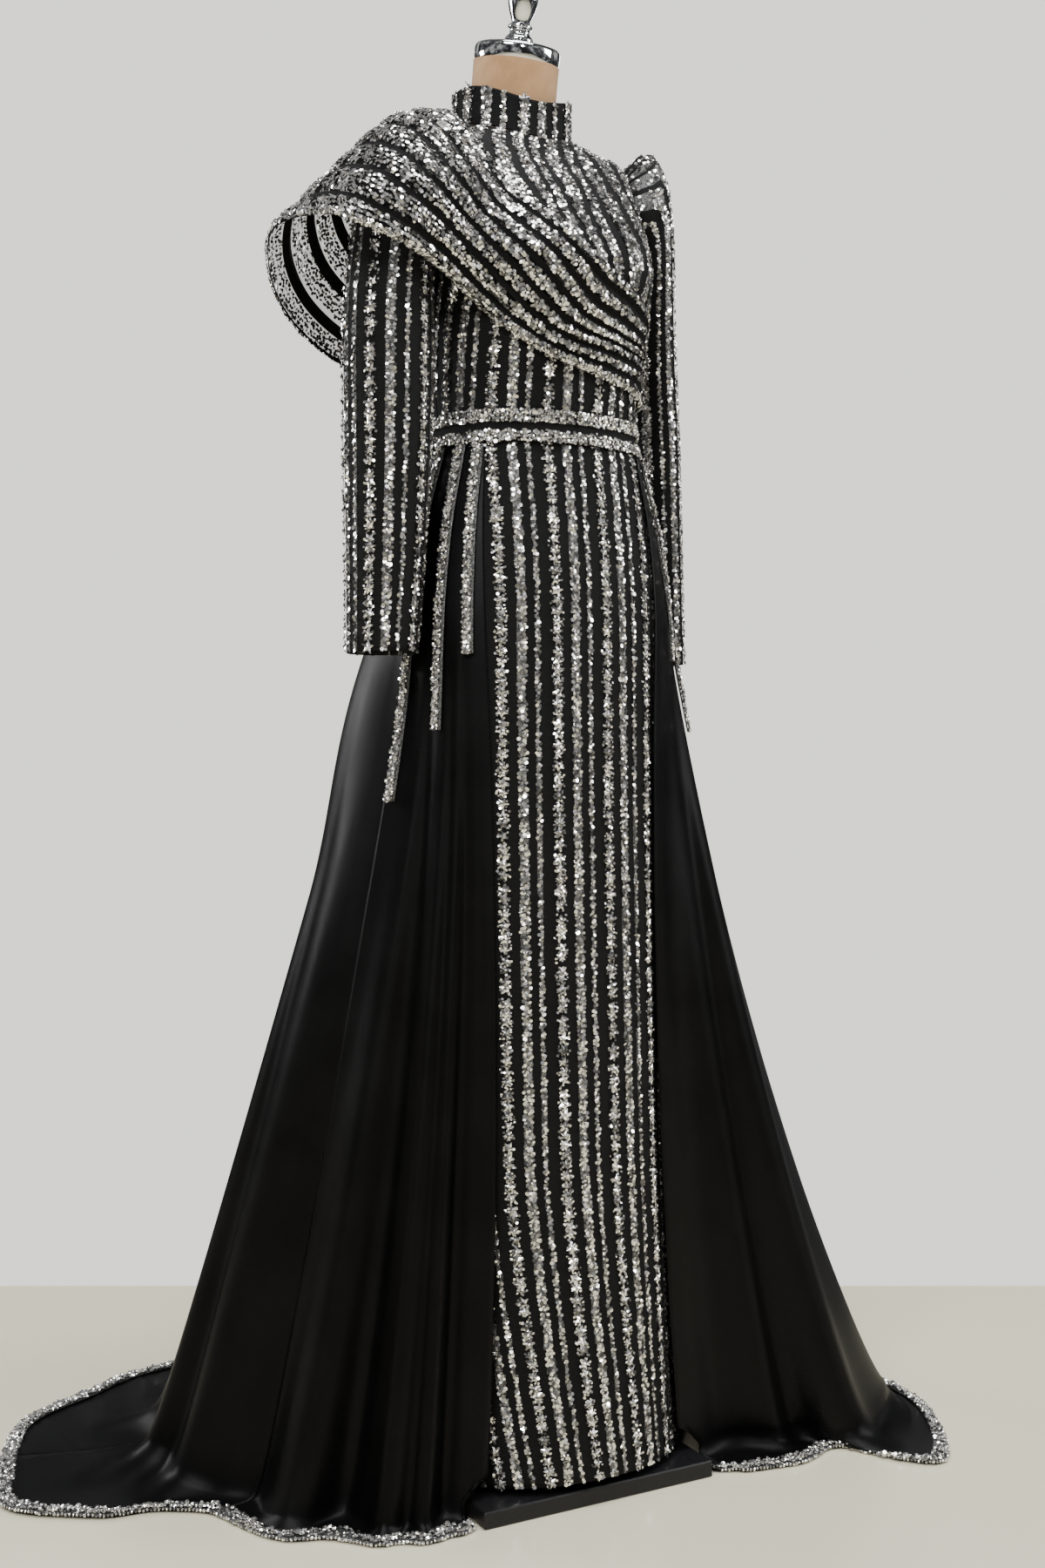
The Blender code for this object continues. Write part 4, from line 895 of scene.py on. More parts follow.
def build_bodice():
    level, opening = np.array(bodice_rows()).T[:, :, None]
    for panel in BODICE_PANELS:
        low = panel.start + np.maximum(BODICE_SEAM, opening * panel.armhole_at_start)
        high = panel.end - np.maximum(BODICE_SEAM, opening * panel.armhole_at_end)
        degrees = low + (high - low) * np.linspace(0, 1, panel.columns)[None, :]
        levels = np.broadcast_to(level, degrees.shape)
        grid = body_points(levels, degrees)
        if panel.name == "bodice_front":
            dress_front(panel.name, grid, levels, degrees, panel.seed)
            continue
        side_seam = 0 if panel.start > 0 else panel.columns - 1
        phase = row_arcs(grid, side_seam) / STRIPE_PERIOD + BACK_FIRST_STRIPE
        dress_sheet(panel.name, grid, ground_faces(phase), phase_sampler(phase),
                    panel.seed, phase=phase)


def build_collar():
    degrees = np.arange(0, 360, 2.5)
    grid = table_points(COLLAR_RINGS, np.linspace(0, 2, 14)[:, None], degrees[None, :])
    turns = np.tile(np.append(degrees, 360.0), (len(grid), 1))
    phase = (turns - COLLAR_FIRST_STRIPE) / COLLAR_PERIOD
    dress_sheet("collar", grid, ground_faces(phase), phase_sampler(phase),
                14, closed=True, phase=phase)


# ---------------------------------------------------------------- sleeves
SLEEVE_COLUMNS = 96
SLEEVE_SEAM_SHARE = 0.0128   # how far inside the armhole's edge a sleeve starts
SLEEVE_GATHERS = 15
SLEEVE_GATHER_DEPTH = 0.0034


def sleeve_grid(table, side):
    turn = 2 * np.pi * np.arange(SLEEVE_COLUMNS) / SLEEVE_COLUMNS
    level = ARMHOLE_LEVEL + np.cos(turn) * (1 - SLEEVE_SEAM_SHARE)
    angle = 90.0 - np.sin(turn) * ARMHOLE_HALF_ANGLE * (1 - SLEEVE_SEAM_SHARE)
    rows = [body_points(level, side * angle)]
    wave = np.cos(SLEEVE_GATHERS * turn + 0.4 * np.sin(3 * turn))
    upper = np.maximum(0.0, np.cos(turn)) ** 0.5
    steps = np.concatenate([np.linspace(0, 4, 33), np.linspace(4.15, 8, 42)])
    for inner_x, inner_z, outer_x, outer_z, y, half_y, gather in blend(table, steps):
        half_x, half_z = (outer_x - inner_x) / 2, (outer_z - inner_z) / 2
        pleats = SLEEVE_GATHER_DEPTH * gather * wave * upper
        grow = np.cos(turn) * (1 + pleats / math.hypot(half_x, half_z))
        x = side * ((outer_x + inner_x) / 2 + half_x * grow)
        z = (outer_z + inner_z) / 2 + half_z * grow
        rows.append(np.stack([x, y - (half_y + pleats * 0.4) * np.sin(turn), z], -1))
    return np.array(rows if side > 0 else rows[::-1])


def build_sleeve(name, table, side, seed):
    grid = sleeve_grid(table, side)
    arcs = row_arcs(closed_grid(grid), 0)
    middle = arcs[len(arcs) // 2]
    phase = SLEEVE_PERIODS * middle[None, :] / middle[-1] + SLEEVE_FIRST_STRIPE[side] + 0 * arcs
    turns = 2 * np.pi * np.arange(SLEEVE_COLUMNS + 1) / SLEEVE_COLUMNS
    from_bodice = np.arange(len(grid))[::side]
    head = np.sqrt(np.clip(np.cos(turns) + 0.25, 0.0, 1.0))[None, :] * SLEEVE_HEAD_ROWS
    head = head - from_bodice[:, None]

    def head_kinds(values):
        return (np.abs(np.mod(HEAD_LINES * values, 1.0) - 0.5) > HEAD_LINE_SHARE).astype(int)

    def kind_at(row, column):
        values = sample_number(phase, row, column)
        on_head = sample_number(head, row, column) > 0
        return np.where(on_head, 2 * head_kinds(values), stripe_kind(values))

    kinds = np.where(face_values(head) > 0, head_kinds(face_values(phase)), ground_faces(phase))
    dress_sheet(name, grid, kinds, kind_at, seed, closed=True,
                phase=None if side > 0 else phase)


# ---------------------------------------------------------------- column
def build_column():
    place = np.concatenate([np.linspace(6.0, 1.0, 84), np.linspace(0.95, 0.0, 18)])[:, None]
    for name, start, columns, seed in (("skirt_front", -90, 141, 21), ("skirt_back", 90, 91, 22)):
        degrees = start + 0.2 + 179.6 * np.linspace(0, 1, columns)[None, :]
        grid = table_points(SKIRT_RINGS, place, degrees)
        arcs = row_arcs(grid, (columns - 1) / 2)
        low = np.clip((LEAN_TOP - grid[:, :, 2]) / LEAN_HEIGHT, 0.0, 1.2) ** 1.5
        lean = LEAN * low * np.clip(0.75 - degrees / 90.0, 0.15, 1.3)
        phase = (arcs - lean + COLUMN_FIRST_STRIPE) / STRIPE_PERIOD
        angles = np.broadcast_to(degrees, arcs.shape)

        def kind_at(row, column, phase=phase, angles=angles):
            in_view = np.abs(sample_number(angles, row, column)) < SEWN_HALF_ANGLE
            return np.where(in_view, stripe_kind(sample_number(phase, row, column)), 0)

        sewn = kind_at if name == "skirt_front" else None
        dress_sheet(name, grid, ground_faces(phase), sewn, seed, phase=phase)


# ---------------------------------------------------------------- beads all over a band
Share = namedtuple("Share", "shape start end tilt")
TRIM_MIX = [Share(BEAD, 0.0, 0.45, 25), Share(DISC, 0.45, 0.80, 35), Share(STONE, 0.80, 1.0, 15)]
BELT_MIX = [Share(BEAD, 0.0, 0.35, 20), Share(DISC, 0.35, 0.80, 30), Share(STONE, 0.80, 1.0, 15)]
BIG_SIZE = 1.35
# Radii from small to large, the share of big ones, and how far off the band they sit: from low to
# high, and a share of each bead's radius on top.
BeadStyle = namedtuple("BeadStyle", "pitch small large big_share low high radius_share mix")
HEM_BEADS = BeadStyle(0.0036, 0.0012, 0.0030, 0.2, 0.0002, 0.0016, 0.4, TRIM_MIX)
RIBBON_BEADS = BeadStyle(0.0030, 0.0012, 0.0026, 0.1, 0.0002, 0.0016, 0.4, TRIM_MIX)
BELT_BEADS = BeadStyle(0.0030, 0.0013, 0.0024, 0.0, 0.0006, 0.0022, 0.0, BELT_MIX)


def add_edge_beads(scattering, edge, inner):
    """Beads side by side round a band's outer edge, over the cut edge of the cloth below."""
    random = scattering.random
    rises = arc_lengths(edge)
    spots = np.arange(0.0, rises[-1], EDGE_BEAD_PITCH)
    lines = np.concatenate([edge, edge - inner], axis=1)
    values = np.stack([np.interp(spots, rises, line) for line in lines.T], -1)
    outward = unit(values[:, 3:] * (1.0, 1.0, 0.0))
    radii = random.uniform(0.0016, 0.0023, len(spots))
    centres = values[:, :3] + outward * 0.0006
    centres[:, 2] -= random.uniform(0.0004, 0.0014, len(spots))
    scattering.add(BEAD, centres, outward, radii, 25)


def bead_band(name, slot, grid, seed, style, beaded=None, edge=False):
    """Beads, sequins and stones over a band, or where beaded(row, column) says so."""
    scattering = Scattering(seed)
    random = scattering.random
    normals = grid_normals(grid)
    row, column = scatter(grid, style.pitch, random)
    if beaded is not None:
        chosen = beaded(row, column)
        row, column = row[chosen], column[chosen]
    centres, outward = sample(grid, row, column), sample(normals, row, column)
    radii = random.uniform(style.small, style.large, len(row))
    chance = random.uniform(0, 1, len(row))
    radii = np.where(chance > 1 - style.big_share, radii * BIG_SIZE, radii)
    lift = random.uniform(style.low, style.high, len(row)) + radii * style.radius_share
    centres = centres + outward * lift[:, None]
    for share in style.mix:
        chosen = (chance >= share.start) & (chance < share.end)
        scattering.add(share.shape, centres[chosen], outward[chosen], radii[chosen], share.tilt)
    if edge:
        add_edge_beads(scattering, grid[0], grid[1])
    return fix_piece(scattering.piece(name, BEADS), slot)


# ---------------------------------------------------------------- belt
BELT_LIFT = 0.0029           # off the column and the bodice
BELT_BOTTOM_HEIGHT = 1.1116
BELT_TOP_HEIGHT = 1.1583
BELT_PLAIN = (0.42, 0.62)    # shares of its height between which the belt is plain black


def belt_grid():
    """From the bottom edge over the waist line to the top edge."""
    degrees = np.arange(0, 360, 2.5)
    low = table_points(SKIRT_RINGS, BELT_BOTTOM_PLACE, degrees, BELT_LIFT)
    middle = table_points(BODY_RINGS, 0.0, degrees, BELT_LIFT)
    high = table_points(BODY_RINGS, BELT_TOP_LEVEL, degrees, BELT_LIFT)
    rows = [low + (middle - low) * share for share in np.linspace(0, 1, 5)]
    rows += [middle + (high - middle) * share for share in np.linspace(0.2, 1, 5)]
    return np.array(rows)


def build_belt():
    grid = belt_grid()
    full = closed_grid(grid)

    def beaded(row, column):
        height = sample_number(full[:, :, 2], row, column)
        share = (height - BELT_BOTTOM_HEIGHT) / (BELT_TOP_HEIGHT - BELT_BOTTOM_HEIGHT)
        return (share < BELT_PLAIN[0]) | (share > BELT_PLAIN[1])

    piece = fix_piece(grid_piece("belt_band", grid, [NET], BELT_WALL, True), "beaded_net", "belt")
    beads = bead_band("belt_beads", "beaded_net", full, 31, BELT_BEADS, beaded)


# ---------------------------------------------------------------- cape
def lying_points(row):
    lifts = (row.lift_in, row.lift_mid, row.lift_mid, row.lift_out)
    levels = row.inner_level + (row.outer_level - row.inner_level) * np.arange(4) / 3
    angles = row.inner_angle + (row.outer_angle - row.inner_angle) * np.arange(4) / 3
    return [on_body(*point) for point in zip(levels, angles, lifts)]


def lying_stations(table):
    places = np.arange(0, len(table) - 0.9, 0.5)
    return [lying_points(LyingStation(*row)) for row in blend(table, places)]


def cape_stations():
    stations = lying_stations(CAPE_FRONT_LYING) + CAPE_FRONT_FREE + [CAPE_CREST]
    stations += CAPE_BACK_FREE + lying_stations(CAPE_BACK_LYING)
    return np.array([np.array(points).ravel() for points in stations])


def bodice_tree():
    degrees = np.arange(0, 360, 5)
    grid = body_points(np.arange(0, 8.01, 0.2)[:, None], np.where(degrees > 180, degrees - 360, degrees))
    points = [Vector(point) for point in grid.reshape(-1, 3)]
    return BVHTree.FromPolygons(points, grid_faces(*grid.shape[:2], True))


def cape_base(stations, tree, along, across):
    """Points of the cape without its pleats; along (columns) and across (rows) are 1-D."""
    rows = blend(stations, along).reshape(len(along), 4, 3)
    grid = np.stack([blend(row, across * 3) for row in rows], axis=1)
    last = len(stations) - 1
    for column, at in enumerate(along):
        from_end = min(1.0, at, last - at)
        clearance = CAPE_SEWN_CLEARANCE + (CAPE_CLEARANCE - CAPE_SEWN_CLEARANCE) * from_end
        for row in range(len(across)):
            point = Vector(grid[row, column])
            nearest, normal, _, _ = tree.find_nearest(point)
            gap = (point - nearest).dot(normal)
            if gap < clearance:
                grid[row, column] = point + normal * (clearance - gap)
    return grid


def build_cape_part(name, along, stations, tree, line, banded, seed):
    """Part of the cape between stations; line is half the width of its black lines."""
    across = np.linspace(1.0, 0.0, CAPE_PLEATS * 12 + 1)
    grid = cape_base(stations, tree, along, across)
    normals = grid_normals(grid)
    widths = np.linalg.norm(np.diff(grid, axis=0), axis=2).sum(axis=0) / CAPE_PLEATS
    depth = np.minimum(CAPE_PLEAT_DEPTH, 0.24 * widths)
    ridge = np.clip(np.sin(np.pi * np.mod(across * CAPE_PLEATS, 1.0)), 0.0, 1.0) ** 0.8
    grid = grid + normals * (ridge[:, None] * depth[None, :])[:, :, None]
    phase = np.broadcast_to((across * CAPE_PLEATS)[:, None], grid.shape[:2])

    def from_line(values):
        return np.abs(np.mod(values + 0.5, 1.0) - 0.5)

    def kind_at(row, column):
        value = sample_number(phase, row, column)
        width = np.interp(column, np.arange(len(widths)), widths)
        half = np.clip((line + 0.0008) / width, 0.13, 0.30)
        kind = np.where(from_line(value) > half, 2, 0)
        if banded:
            kind = np.where(np.mod(value, 1.0) > CAPE_BAND_SHARE, 0, kind)
        return np.where(value > CAPE_PLEATS - CAPE_STAR_SHARE, 3, kind)

    black = np.clip(line / ((widths[1:] + widths[:-1]) / 2), 0.10, 0.24)[None, :]
    kinds = (from_line(face_values(phase)) < black).astype(int)
    dress_sheet(name, grid, kinds, kind_at, seed, CAPE_WALL,
                materials=(SHEER, LINE))


def build_cape():
    stations, tree = cape_stations(), bodice_tree()
    front = np.linspace(CAPE_CREST_STATION - CAPE_SEAM_SHARE, 0.0, 110)
    back = np.linspace(len(stations) - 1, CAPE_CREST_STATION + CAPE_SEAM_SHARE, 84)
    build_cape_part("cape_front", front, stations, tree, CAPE_LINE_HALF_WIDTH, False, 41)
    build_cape_part("cape_back", back, stations, tree, CAPE_INNER_HALF_WIDTH, True, 42)


# ---------------------------------------------------------------- overskirt
GORE_PLACES = np.array([gore.at for gore in OVERSKIRT])
GORE_ROWS = np.array([(gore.waist_angle, *gore.touch, *gore.hem, gore.flare) for gore in OVERSKIRT])


def gore_at(place):
    index = np.interp(place, GORE_PLACES, np.arange(len(GORE_PLACES)))
    return blend(GORE_ROWS, index)


def fold_rise(place, drop):
    total = np.zeros(np.broadcast(place, drop).shape)
    for fold in FOLDS:
        grown = np.clip((np.minimum(drop, 1.0) - fold.start) / (1.0 - fold.start), 0.0, 1.0)
        total = total + fold.depth * grown ** 1.3 * bump(place - fold.at, fold.half_width)
    return total


def from_column(points, height, turn=0.0):
    """The column's middle, the way from it to each point, that way's angle and least length."""
    ring = skirt_ring(height)
    away = np.stack([points[:, 0], points[:, 1] - ring[:, 2]], -1)
    angle = np.arctan2(away[:, 0], -away[:, 1]) + turn
    return ring[:, 2], away, angle, ring_radius(ring, angle) + HIP_CLEARANCE


def keep_off_column(spot, height, turn):
    """Turns points about the column's axis and moves them out until they clear the column."""
    middle, away, angle, nearest = from_column(spot, height, turn)
    length = np.linalg.norm(away, axis=1)
    softness = COLUMN_SOFTNESS * np.clip((OVERSKIRT_TOP - height) / COLUMN_SOFT_DEPTH, 0.0, 1.0)
    reach = 0.5 * (length + nearest + np.sqrt((length - nearest) ** 2 + softness ** 2))
    return np.stack([reach * np.sin(angle), middle - reach * np.cos(angle), height], -1)


def clear_column(points):
    """Moves the points of a fold's valley out where they would enter the column."""
    middle, away, _, nearest = from_column(points, points[:, 2])
    away = away * np.maximum(1.0, nearest / np.linalg.norm(away, axis=1))[:, None]
    return np.stack([away[:, 0], middle + away[:, 1], points[:, 2]], -1)


def beside_plate(points):
    """Moves front points near the floor sideways until they lie beside the base plate."""
    across, along, height = points.T
    lean = np.maximum(0.0, (height - LOW_HEIGHT) / (FREE_HEIGHT - LOW_HEIGHT)) * PLATE_SLOPE
    beside = np.copysign(np.maximum(np.abs(across), PLATE_BESIDE - lean), across)
    across = np.where((along < 0.0) & (height < FREE_HEIGHT), beside, across)
    return np.stack([across, along, height], -1)


def overskirt_height(drop, lying):
    """Height at a drop; lying is the length of cloth that lies on the floor below."""
    straight = np.where(drop <= 1.0, OVERSKIRT_TOP * (1.0 - drop), -FLOOR_DROP * (drop - 1.0))
    softness = np.minimum(MOST_SOFTNESS, TOUCH_SOFTNESS + TRAIN_SOFTNESS * lying)
    height = FLOOR_LEVEL + 0.5 * (straight + np.sqrt(straight ** 2 + softness ** 2))
    slack = np.sqrt(OVERSKIRT_TOP ** 2 + softness ** 2) - OVERSKIRT_TOP
    height = height - (0.5 * slack + FLOOR_LEVEL) * (1 - np.minimum(drop, 1.0))
    return np.maximum(FLOOR_LEVEL, height)


def overskirt_base(place, drop):
    """Points without folds; drop is 0 at the waist, 1 where the cloth reaches the floor, 2 at the hem."""
    gore = gore_at(place)
    angle = np.radians(gore[:, 0])
    touch, hem, flare = gore[:, 1:3], gore[:, 3:5], gore[:, 5]
    outward = np.stack([np.sin(angle), -np.cos(angle)], -1)
    waist_ring = np.tile(np.array(SKIRT_RINGS[0]), (len(place), 1))
    waist = outward * (ring_radius(waist_ring, angle) + HIP_CLEARANCE)[:, None]
    fall = np.minimum(drop, 1.0)
    travel = flare * fall + (1.0 - flare) * fall ** 3
    fullness = HIP_FULLNESS * bump(place - HIP_PLACE, HIP_SPAN) * bump(fall - HIP_DROP, HIP_DEPTH)
    spot = waist + (touch - waist) * travel[:, None] + outward * fullness[:, None]
    beyond = np.maximum(0.0, drop - 1.0)
    spot = np.where((drop > 1.0)[:, None], touch + (hem - touch) * beyond[:, None], spot)
    turn = RIGHT_LAP_DEGREES * np.maximum(0.0, 1.0 - place / RIGHT_LAP_END)
    turn = turn - LEFT_LAP_DEGREES * np.maximum(0.0, (place - LEFT_LAP_START) / (1.0 - LEFT_LAP_START))
    turn = np.radians(turn) * np.maximum(0.0, np.sin(np.pi * fall)) ** LAP_POWER
    height = overskirt_height(drop, np.linalg.norm(hem - touch, axis=1))
    return beside_plate(keep_off_column(spot, height, turn))


def overskirt_points(place, drop):
    place, drop = np.broadcast_arrays(np.asarray(place, float), np.asarray(drop, float))
    shape = place.shape
    place, drop = place.ravel(), drop.ravel()
    step = 0.004
    fall = np.minimum(1.0, drop)
    ahead = overskirt_base(np.minimum(1.0, place + step), fall)
    ahead = ahead - overskirt_base(np.maximum(0.0, place - step), fall)
    outward = unit(np.stack([-ahead[:, 1], ahead[:, 0], np.zeros(len(place))], -1))
    rise = fold_rise(place, drop) * np.where(drop > 1.0, 1.0 - FOLD_FADE * (drop - 1.0), 1.0)
    points = clear_column(overskirt_base(place, drop) + outward * rise[:, None])
    points[:, 2] += FLOOR_RIPPLE * np.maximum(0.0, fold_rise(place, fall)) * bump(drop - 1.12, 0.42)
    return points.reshape(shape + (3,))


def hem_drop(place):
    gore = gore_at(place)
    length = np.linalg.norm(gore[:, 3:5] - gore[:, 1:3], axis=1)
    return 2.0 - np.minimum(0.6, HEM_TRIM_WIDTH / np.maximum(0.001, length))


def build_hem_band(side, place, seed):
    share = np.linspace(0.0, 1.0, 5)[:, None]
    drops = 2.0 + (hem_drop(place) - 2.0)[None, :] * share
    band = overskirt_points(place[None, :], drops)
    band[:, :, 2] += HEM_BAND_LIFT
    ground = grid_piece("hem_ground_" + side, band, [GROUND], BAND_WALL)
    fix_piece(ground, "beaded_trim", "hem_trim_" + side)
    beads = bead_band("hem_beads_" + side, "beaded_trim", band, seed, HEM_BEADS, edge=True)


def build_overskirt():
    drops = np.concatenate([np.linspace(2.0, 1.0, 30)[:-1], np.linspace(1.0, 0.80, 24)[:-1],
                            np.linspace(0.80, 0.0, 60)])
    for number, (side, low, high) in enumerate(OVERSKIRT_PANELS):
        columns = int((high - low) * 330)
        grid = overskirt_points(np.linspace(high, low, columns)[None, :], drops[:, None])
        piece = grid_piece("satin_" + side, grid, [SATIN], SATIN_WALL)
        fix_piece(piece, "satin", "overskirt_" + side)
        build_hem_band(side, np.linspace(high, low, columns * 2), 60 + number)


def drop_at_height(place, height):
    low, high = 0.0, 1.0
    for _ in range(30):
        middle = (low + high) / 2
        if overskirt_points([place], [middle])[0, 2] > height:
            low = middle
        else:
            high = middle
    return low


def ribbon_grid(ribbon):
    """Narrow grid over the overskirt's folds, a little looser towards the ribbon's end."""
    top = drop_at_height(ribbon.at, OVERSKIRT_TOP - 0.0015)
    drops = np.linspace(drop_at_height(ribbon.at, ribbon.bottom), top, RIBBON_ROWS)
    place = np.full(RIBBON_ROWS, ribbon.at)
    step = 0.003
    across = overskirt_points(np.minimum(1, place + step), drops)
    across = across - overskirt_points(np.maximum(0, place - step), drops)
    down = overskirt_points(place, drops + 0.02)
    down = down - overskirt_points(place, np.maximum(0, drops - 0.02))
    normal = unit(np.cross(across, down))
    loose = RIBBON_LOOSE * np.linspace(1, 0, RIBBON_ROWS)[:, None]
    centre = overskirt_points(place, drops) + normal * (RIBBON_LIFT + loose)
    sideways = unit(np.stack([-normal[:, 1], normal[:, 0], 0 * normal[:, 0]], -1)) * RIBBON_WIDTH / 2
    return np.stack([centre + sideways * share for share in np.linspace(-1, 1, 5)], axis=1)


def build_ribbons():
    for number, ribbon in enumerate(RIBBONS):
        grid = ribbon_grid(ribbon)
        piece = grid_piece("ribbon_ground_" + ribbon.name, grid, [GROUND], BAND_WALL)
        fix_piece(piece, "beaded_trim", "ribbon_" + ribbon.name)
        beads = bead_band("ribbon_beads_" + ribbon.name, "beaded_trim", grid, 80 + number, RIBBON_BEADS)


# ---------------------------------------------------------------- form and stand
NECK_RINGS = [
    Ring(0.088, -0.002, 0.048, 0.096, 1.450, 1.468, 1.470),
    Ring(0.058, 0.004, 0.051, 0.097, 1.466, 1.478, 1.484),
    Ring(0.050, 0.006, 0.051, 0.096, 1.488, 1.498, 1.503),
]
FORM_HEIGHTS = (0.800, 0.806, 0.870, 0.940, 1.000, 1.070)
FORM_INSET = 0.0040          # from the column to the form below the waist
FORM_ROUNDING = 0.012        # how much narrower its lowest ring is
# Levels above the waist, with the way from the bodice in to the form.
FORM_LEVELS = [
    (0.0, 0.0025), (1.0, 0.004), (2.0, 0.004), (3.0, 0.007), (3.6, 0.007),
    (4.3, 0.007), (5.0, 0.007), (5.6, 0.011), (6.1, 0.011), (6.6, 0.011),
]


def build_form():
    degrees = np.arange(0, 360, 5.0)
    signed = np.where(degrees > 180, degrees - 360, degrees)
    rows = []
    for height in FORM_HEIGHTS:
        inset = FORM_INSET + (FORM_ROUNDING if height == FORM_HEIGHTS[0] else 0.0)
        rows.append(ring_points(skirt_ring(np.full(len(degrees), height)), np.radians(degrees), -inset))
    rows += [body_points(level, signed, -inset) for level, inset in FORM_LEVELS]
    rise = NECK_TOP_RADIUS * math.tan(NECK_TILT)
    top = Ring(NECK_TOP_RADIUS, NECK_TOP_Y - NECK_TOP_RADIUS, NECK_TOP_Y, NECK_TOP_Y + NECK_TOP_RADIUS,
               NECK_TOP_HEIGHT - rise, NECK_TOP_HEIGHT, NECK_TOP_HEIGHT + rise)
    rows += [table_points(NECK_RINGS + [top], at, degrees) for at in np.linspace(0, 3, 16)]
    rows[-1][:, 2] = NECK_TOP_HEIGHT + (rows[-1][:, 1] - NECK_TOP_Y) * math.tan(NECK_TILT)
    fix_piece(capped_piece("form_cover", np.array(rows), LINEN, 50), "linen", "form_torso")


# Turned profiles, each with radius and height from top to bottom.
FINIAL_PROFILE = [
    (0.0004, 0.0800), (0.0032, 0.0798), (0.0060, 0.0792), (0.0088, 0.0780), (0.0110, 0.0762),
    (0.0128, 0.0740), (0.0140, 0.0715), (0.0146, 0.0688), (0.0148, 0.0660), (0.0153, 0.0630),
    (0.0160, 0.0600), (0.0168, 0.0560), (0.0172, 0.0520), (0.0172, 0.0475), (0.0165, 0.0430),
    (0.0154, 0.0385), (0.0140, 0.0340), (0.0125, 0.0303), (0.0112, 0.0270), (0.0106, 0.0248),
    (0.0105, 0.0230), (0.0112, 0.0222), (0.0135, 0.0208), (0.0140, 0.0194), (0.0140, 0.0182),
    (0.0132, 0.0170), (0.0120, 0.0162), (0.0115, 0.0150), (0.0114, 0.0120), (0.0122, 0.0105),
    (0.0140, 0.0090), (0.0155, 0.0076), (0.0162, 0.0060), (0.0165, 0.0045), (0.0165, 0.0012),
    (0.0160, 0.0000),
]
CAP_PROFILE = [
    (0.0004, 0.0200), (0.0170, 0.0200), (0.0200, 0.0198), (0.0330, 0.0190), (0.0440, 0.0180),
    (0.0465, 0.0172), (0.0480, 0.0155), (0.0486, 0.0130), (0.0487, 0.0095), (0.0486, 0.0060),
    (0.0482, 0.0020), (0.0474, 0.0000),
]
POLE_PROFILE = [
    (0.0276, 0.7997), (0.0280, 0.7992), (0.0280, 0.7940), (0.0270, 0.7930), (0.0140, 0.7897),
    (0.0140, 0.0363), (0.0150, 0.0350), (0.0200, 0.0303), (0.0330, 0.0263), (0.0352, 0.0250),
    (0.0360, 0.0233), (0.0360, 0.0185),
]
CONTACT_GAP = 0.0003


def turned_piece(name, node, profile, sides, centre=(0.0, 0.0, 0.0), tilt=0.0):
    """Chrome piece turned from a profile, leaning forward by tilt."""
    radius, height = np.array(profile)[::-1].T[:, :, None]
    angle = 2 * np.pi * np.arange(sides)[None, :] / sides
    grid = np.stack([radius * np.cos(angle), radius * np.sin(angle), height + 0 * angle], -1)
    lean = np.array([[1, 0, 0], [0, math.cos(tilt), -math.sin(tilt)], [0, math.sin(tilt), math.cos(tilt)]])
    piece = capped_piece(name, grid @ lean.T + np.array(centre), CHROME, 35)
    fix_piece(piece, "chrome", node)


def build_metal():
    axis = np.array([0.0, -math.sin(NECK_TILT), math.cos(NECK_TILT)])
    base = np.array([0.0, NECK_TOP_Y, NECK_TOP_HEIGHT]) + axis * CONTACT_GAP
    turned_piece("chrome_cap", "neck_cap", CAP_PROFILE, 72, base, NECK_TILT)
    top = base + axis * (CAP_HEIGHT + CONTACT_GAP)
    turned_piece("chrome_finial", "finial", FINIAL_PROFILE, 56, top, NECK_TILT)
    turned_piece("chrome_pole", "pole", POLE_PROFILE, 48)
    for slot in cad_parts["base_plate"].material_slots:
        slot.material = PLATE


# ---------------------------------------------------------------- stage, light and camera
FLOOR_END = 0.62             # from the part's middle to the floor's far edge
FLOOR_REACH = 5.0
FLOOR_HALF_WIDTH = 4.0
CAMERA_PLACE = (-0.9467, -1.7143, 0.782)
CAMERA_TILT = -0.8
CAMERA_TURN = -28.6
LIGHT_TARGET = (0.0, 0.0, 0.85)
WORLD_LIGHT = 0.40
WORLD_SEEN = 1.55
Lamp = namedtuple("Lamp", "name place size power")
LAMPS = [
    Lamp("key", (-2.6, -2.2, 3.3), 1.4, 122.0),
    Lamp("fill", (2.9, -1.6, 2.3), 1.4, 84.0),
    Lamp("top", (0.0, -0.6, 3.6), 1.4, 90.0),
    Lamp("rim", (1.6, 2.6, 2.3), 1.0, 50.0),
    Lamp("spark", (-0.8, -3.2, 2.1), 0.4, 22.0),
    Lamp("window", (-2.2, 2.4, 1.9), 0.9, 60.0),
]


def build_floor():
    """Pale floor that ends behind the train, where the studio's far side begins."""
    ahead, aside = np.array([0.479, 0.878]), np.array([0.878, -0.479])
    corners = []
    for along, across in ((-FLOOR_REACH, -1), (-FLOOR_REACH, 1), (FLOOR_END, 1), (FLOOR_END, -1)):
        corners.append((*(ahead * along + aside * across * FLOOR_HALF_WIDTH), 0.0))
    mesh = bpy.data.meshes.new("studio_floor")
    mesh.from_pydata(corners, [], [(0, 1, 2, 3)])
    material, tree, shader = new_material("pale_floor", Roughness=0.22)
    drive(tree, shader, "Base Color", add_noise(tree, 1.4, 3.0),
          (0.3, (0.735, 0.685, 0.515)), (0.7, (0.775, 0.725, 0.555)))
    link_piece("studio_floor", mesh, [material])


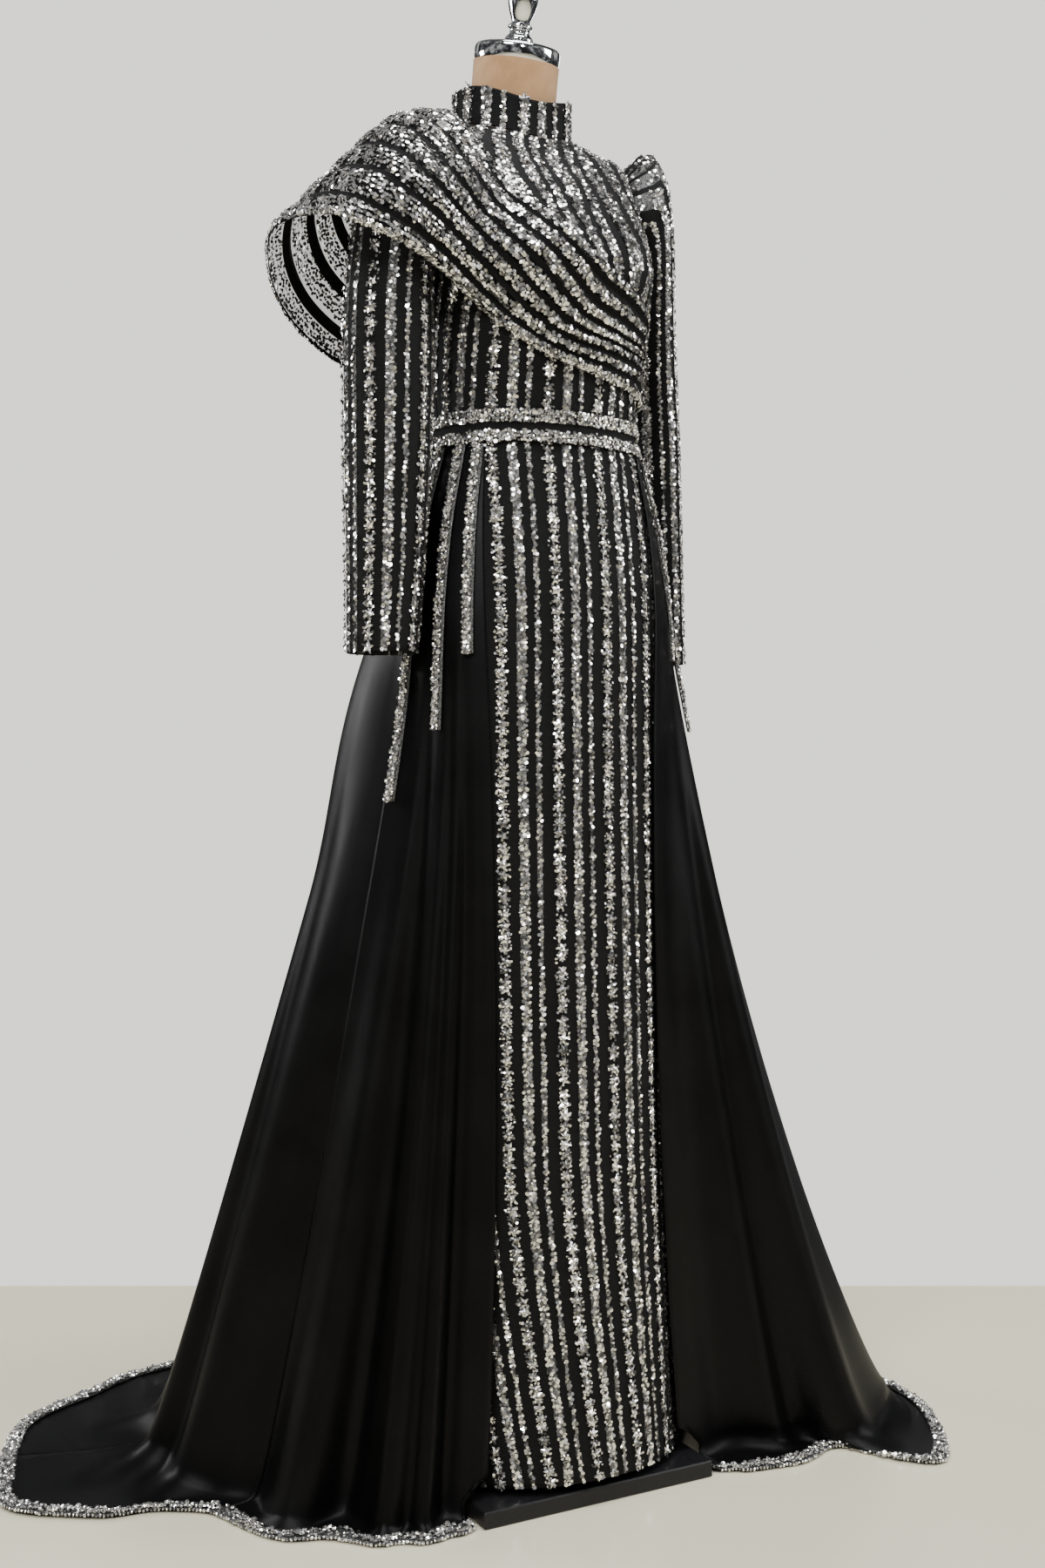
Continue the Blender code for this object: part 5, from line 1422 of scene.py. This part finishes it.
def build_world():
    """Pale far side for the eye; soft light and dark patches for what the gown reflects."""
    world = bpy.data.worlds.new("studio")
    world.use_nodes = True
    tree = world.node_tree
    lit, seen = tree.nodes["Background"], tree.nodes.new("ShaderNodeBackground")
    patches = add_noise(tree, 2.2, 3.0, over="Generated", Roughness=0.6)
    drive(tree, lit, "Color", patches,
          (0.42, (0.05, 0.05, 0.055)), (0.52, (0.28, 0.29, 0.30)), (0.60, (1.15, 1.14, 1.10)))
    set_sockets(lit, {"Strength": WORLD_LIGHT})
    set_sockets(seen, {"Color": (0.94, 0.925, 0.865, 1.0), "Strength": WORLD_SEEN})
    rays = tree.nodes.new("ShaderNodeLightPath")
    mix = tree.nodes.new("ShaderNodeMixShader")
    tree.links.new(rays.outputs["Is Camera Ray"], mix.inputs["Fac"])
    tree.links.new(lit.outputs["Background"], mix.inputs[1])
    tree.links.new(seen.outputs["Background"], mix.inputs[2])
    tree.links.new(mix.outputs["Shader"], tree.nodes["World Output"].inputs["Surface"])
    bpy.context.scene.world = world


def build_lights():
    for row in LAMPS:
        light = bpy.data.lights.new(row.name, "AREA")
        light.energy = row.power
        light.size = row.size
        lamp = bpy.data.objects.new(row.name, light)
        lamp.location = row.place
        way = Vector(LIGHT_TARGET) - Vector(row.place)
        lamp.rotation_euler = way.to_track_quat("-Z", "Y").to_euler()
        bpy.context.scene.collection.objects.link(lamp)


def build_camera():
    camera = bpy.data.cameras.new("camera")
    camera.lens = 40.0
    camera.sensor_width = 36.0
    holder = bpy.data.objects.new("camera", camera)
    holder.location = CAMERA_PLACE
    holder.rotation_euler = (math.radians(90.0 + CAMERA_TILT), 0.0, math.radians(CAMERA_TURN))
    bpy.context.scene.collection.objects.link(holder)
    bpy.context.scene.camera = holder


build_camera()
build_floor()
build_world()
build_lights()
build_form()
build_metal()
build_bodice()
build_collar()
build_sleeve("sleeve_left", SLEEVE_LEFT, 1, 15)
build_sleeve("sleeve_right", SLEEVE_RIGHT, -1, 16)
build_column()
build_belt()
build_cape()
build_overskirt()
build_ribbons()
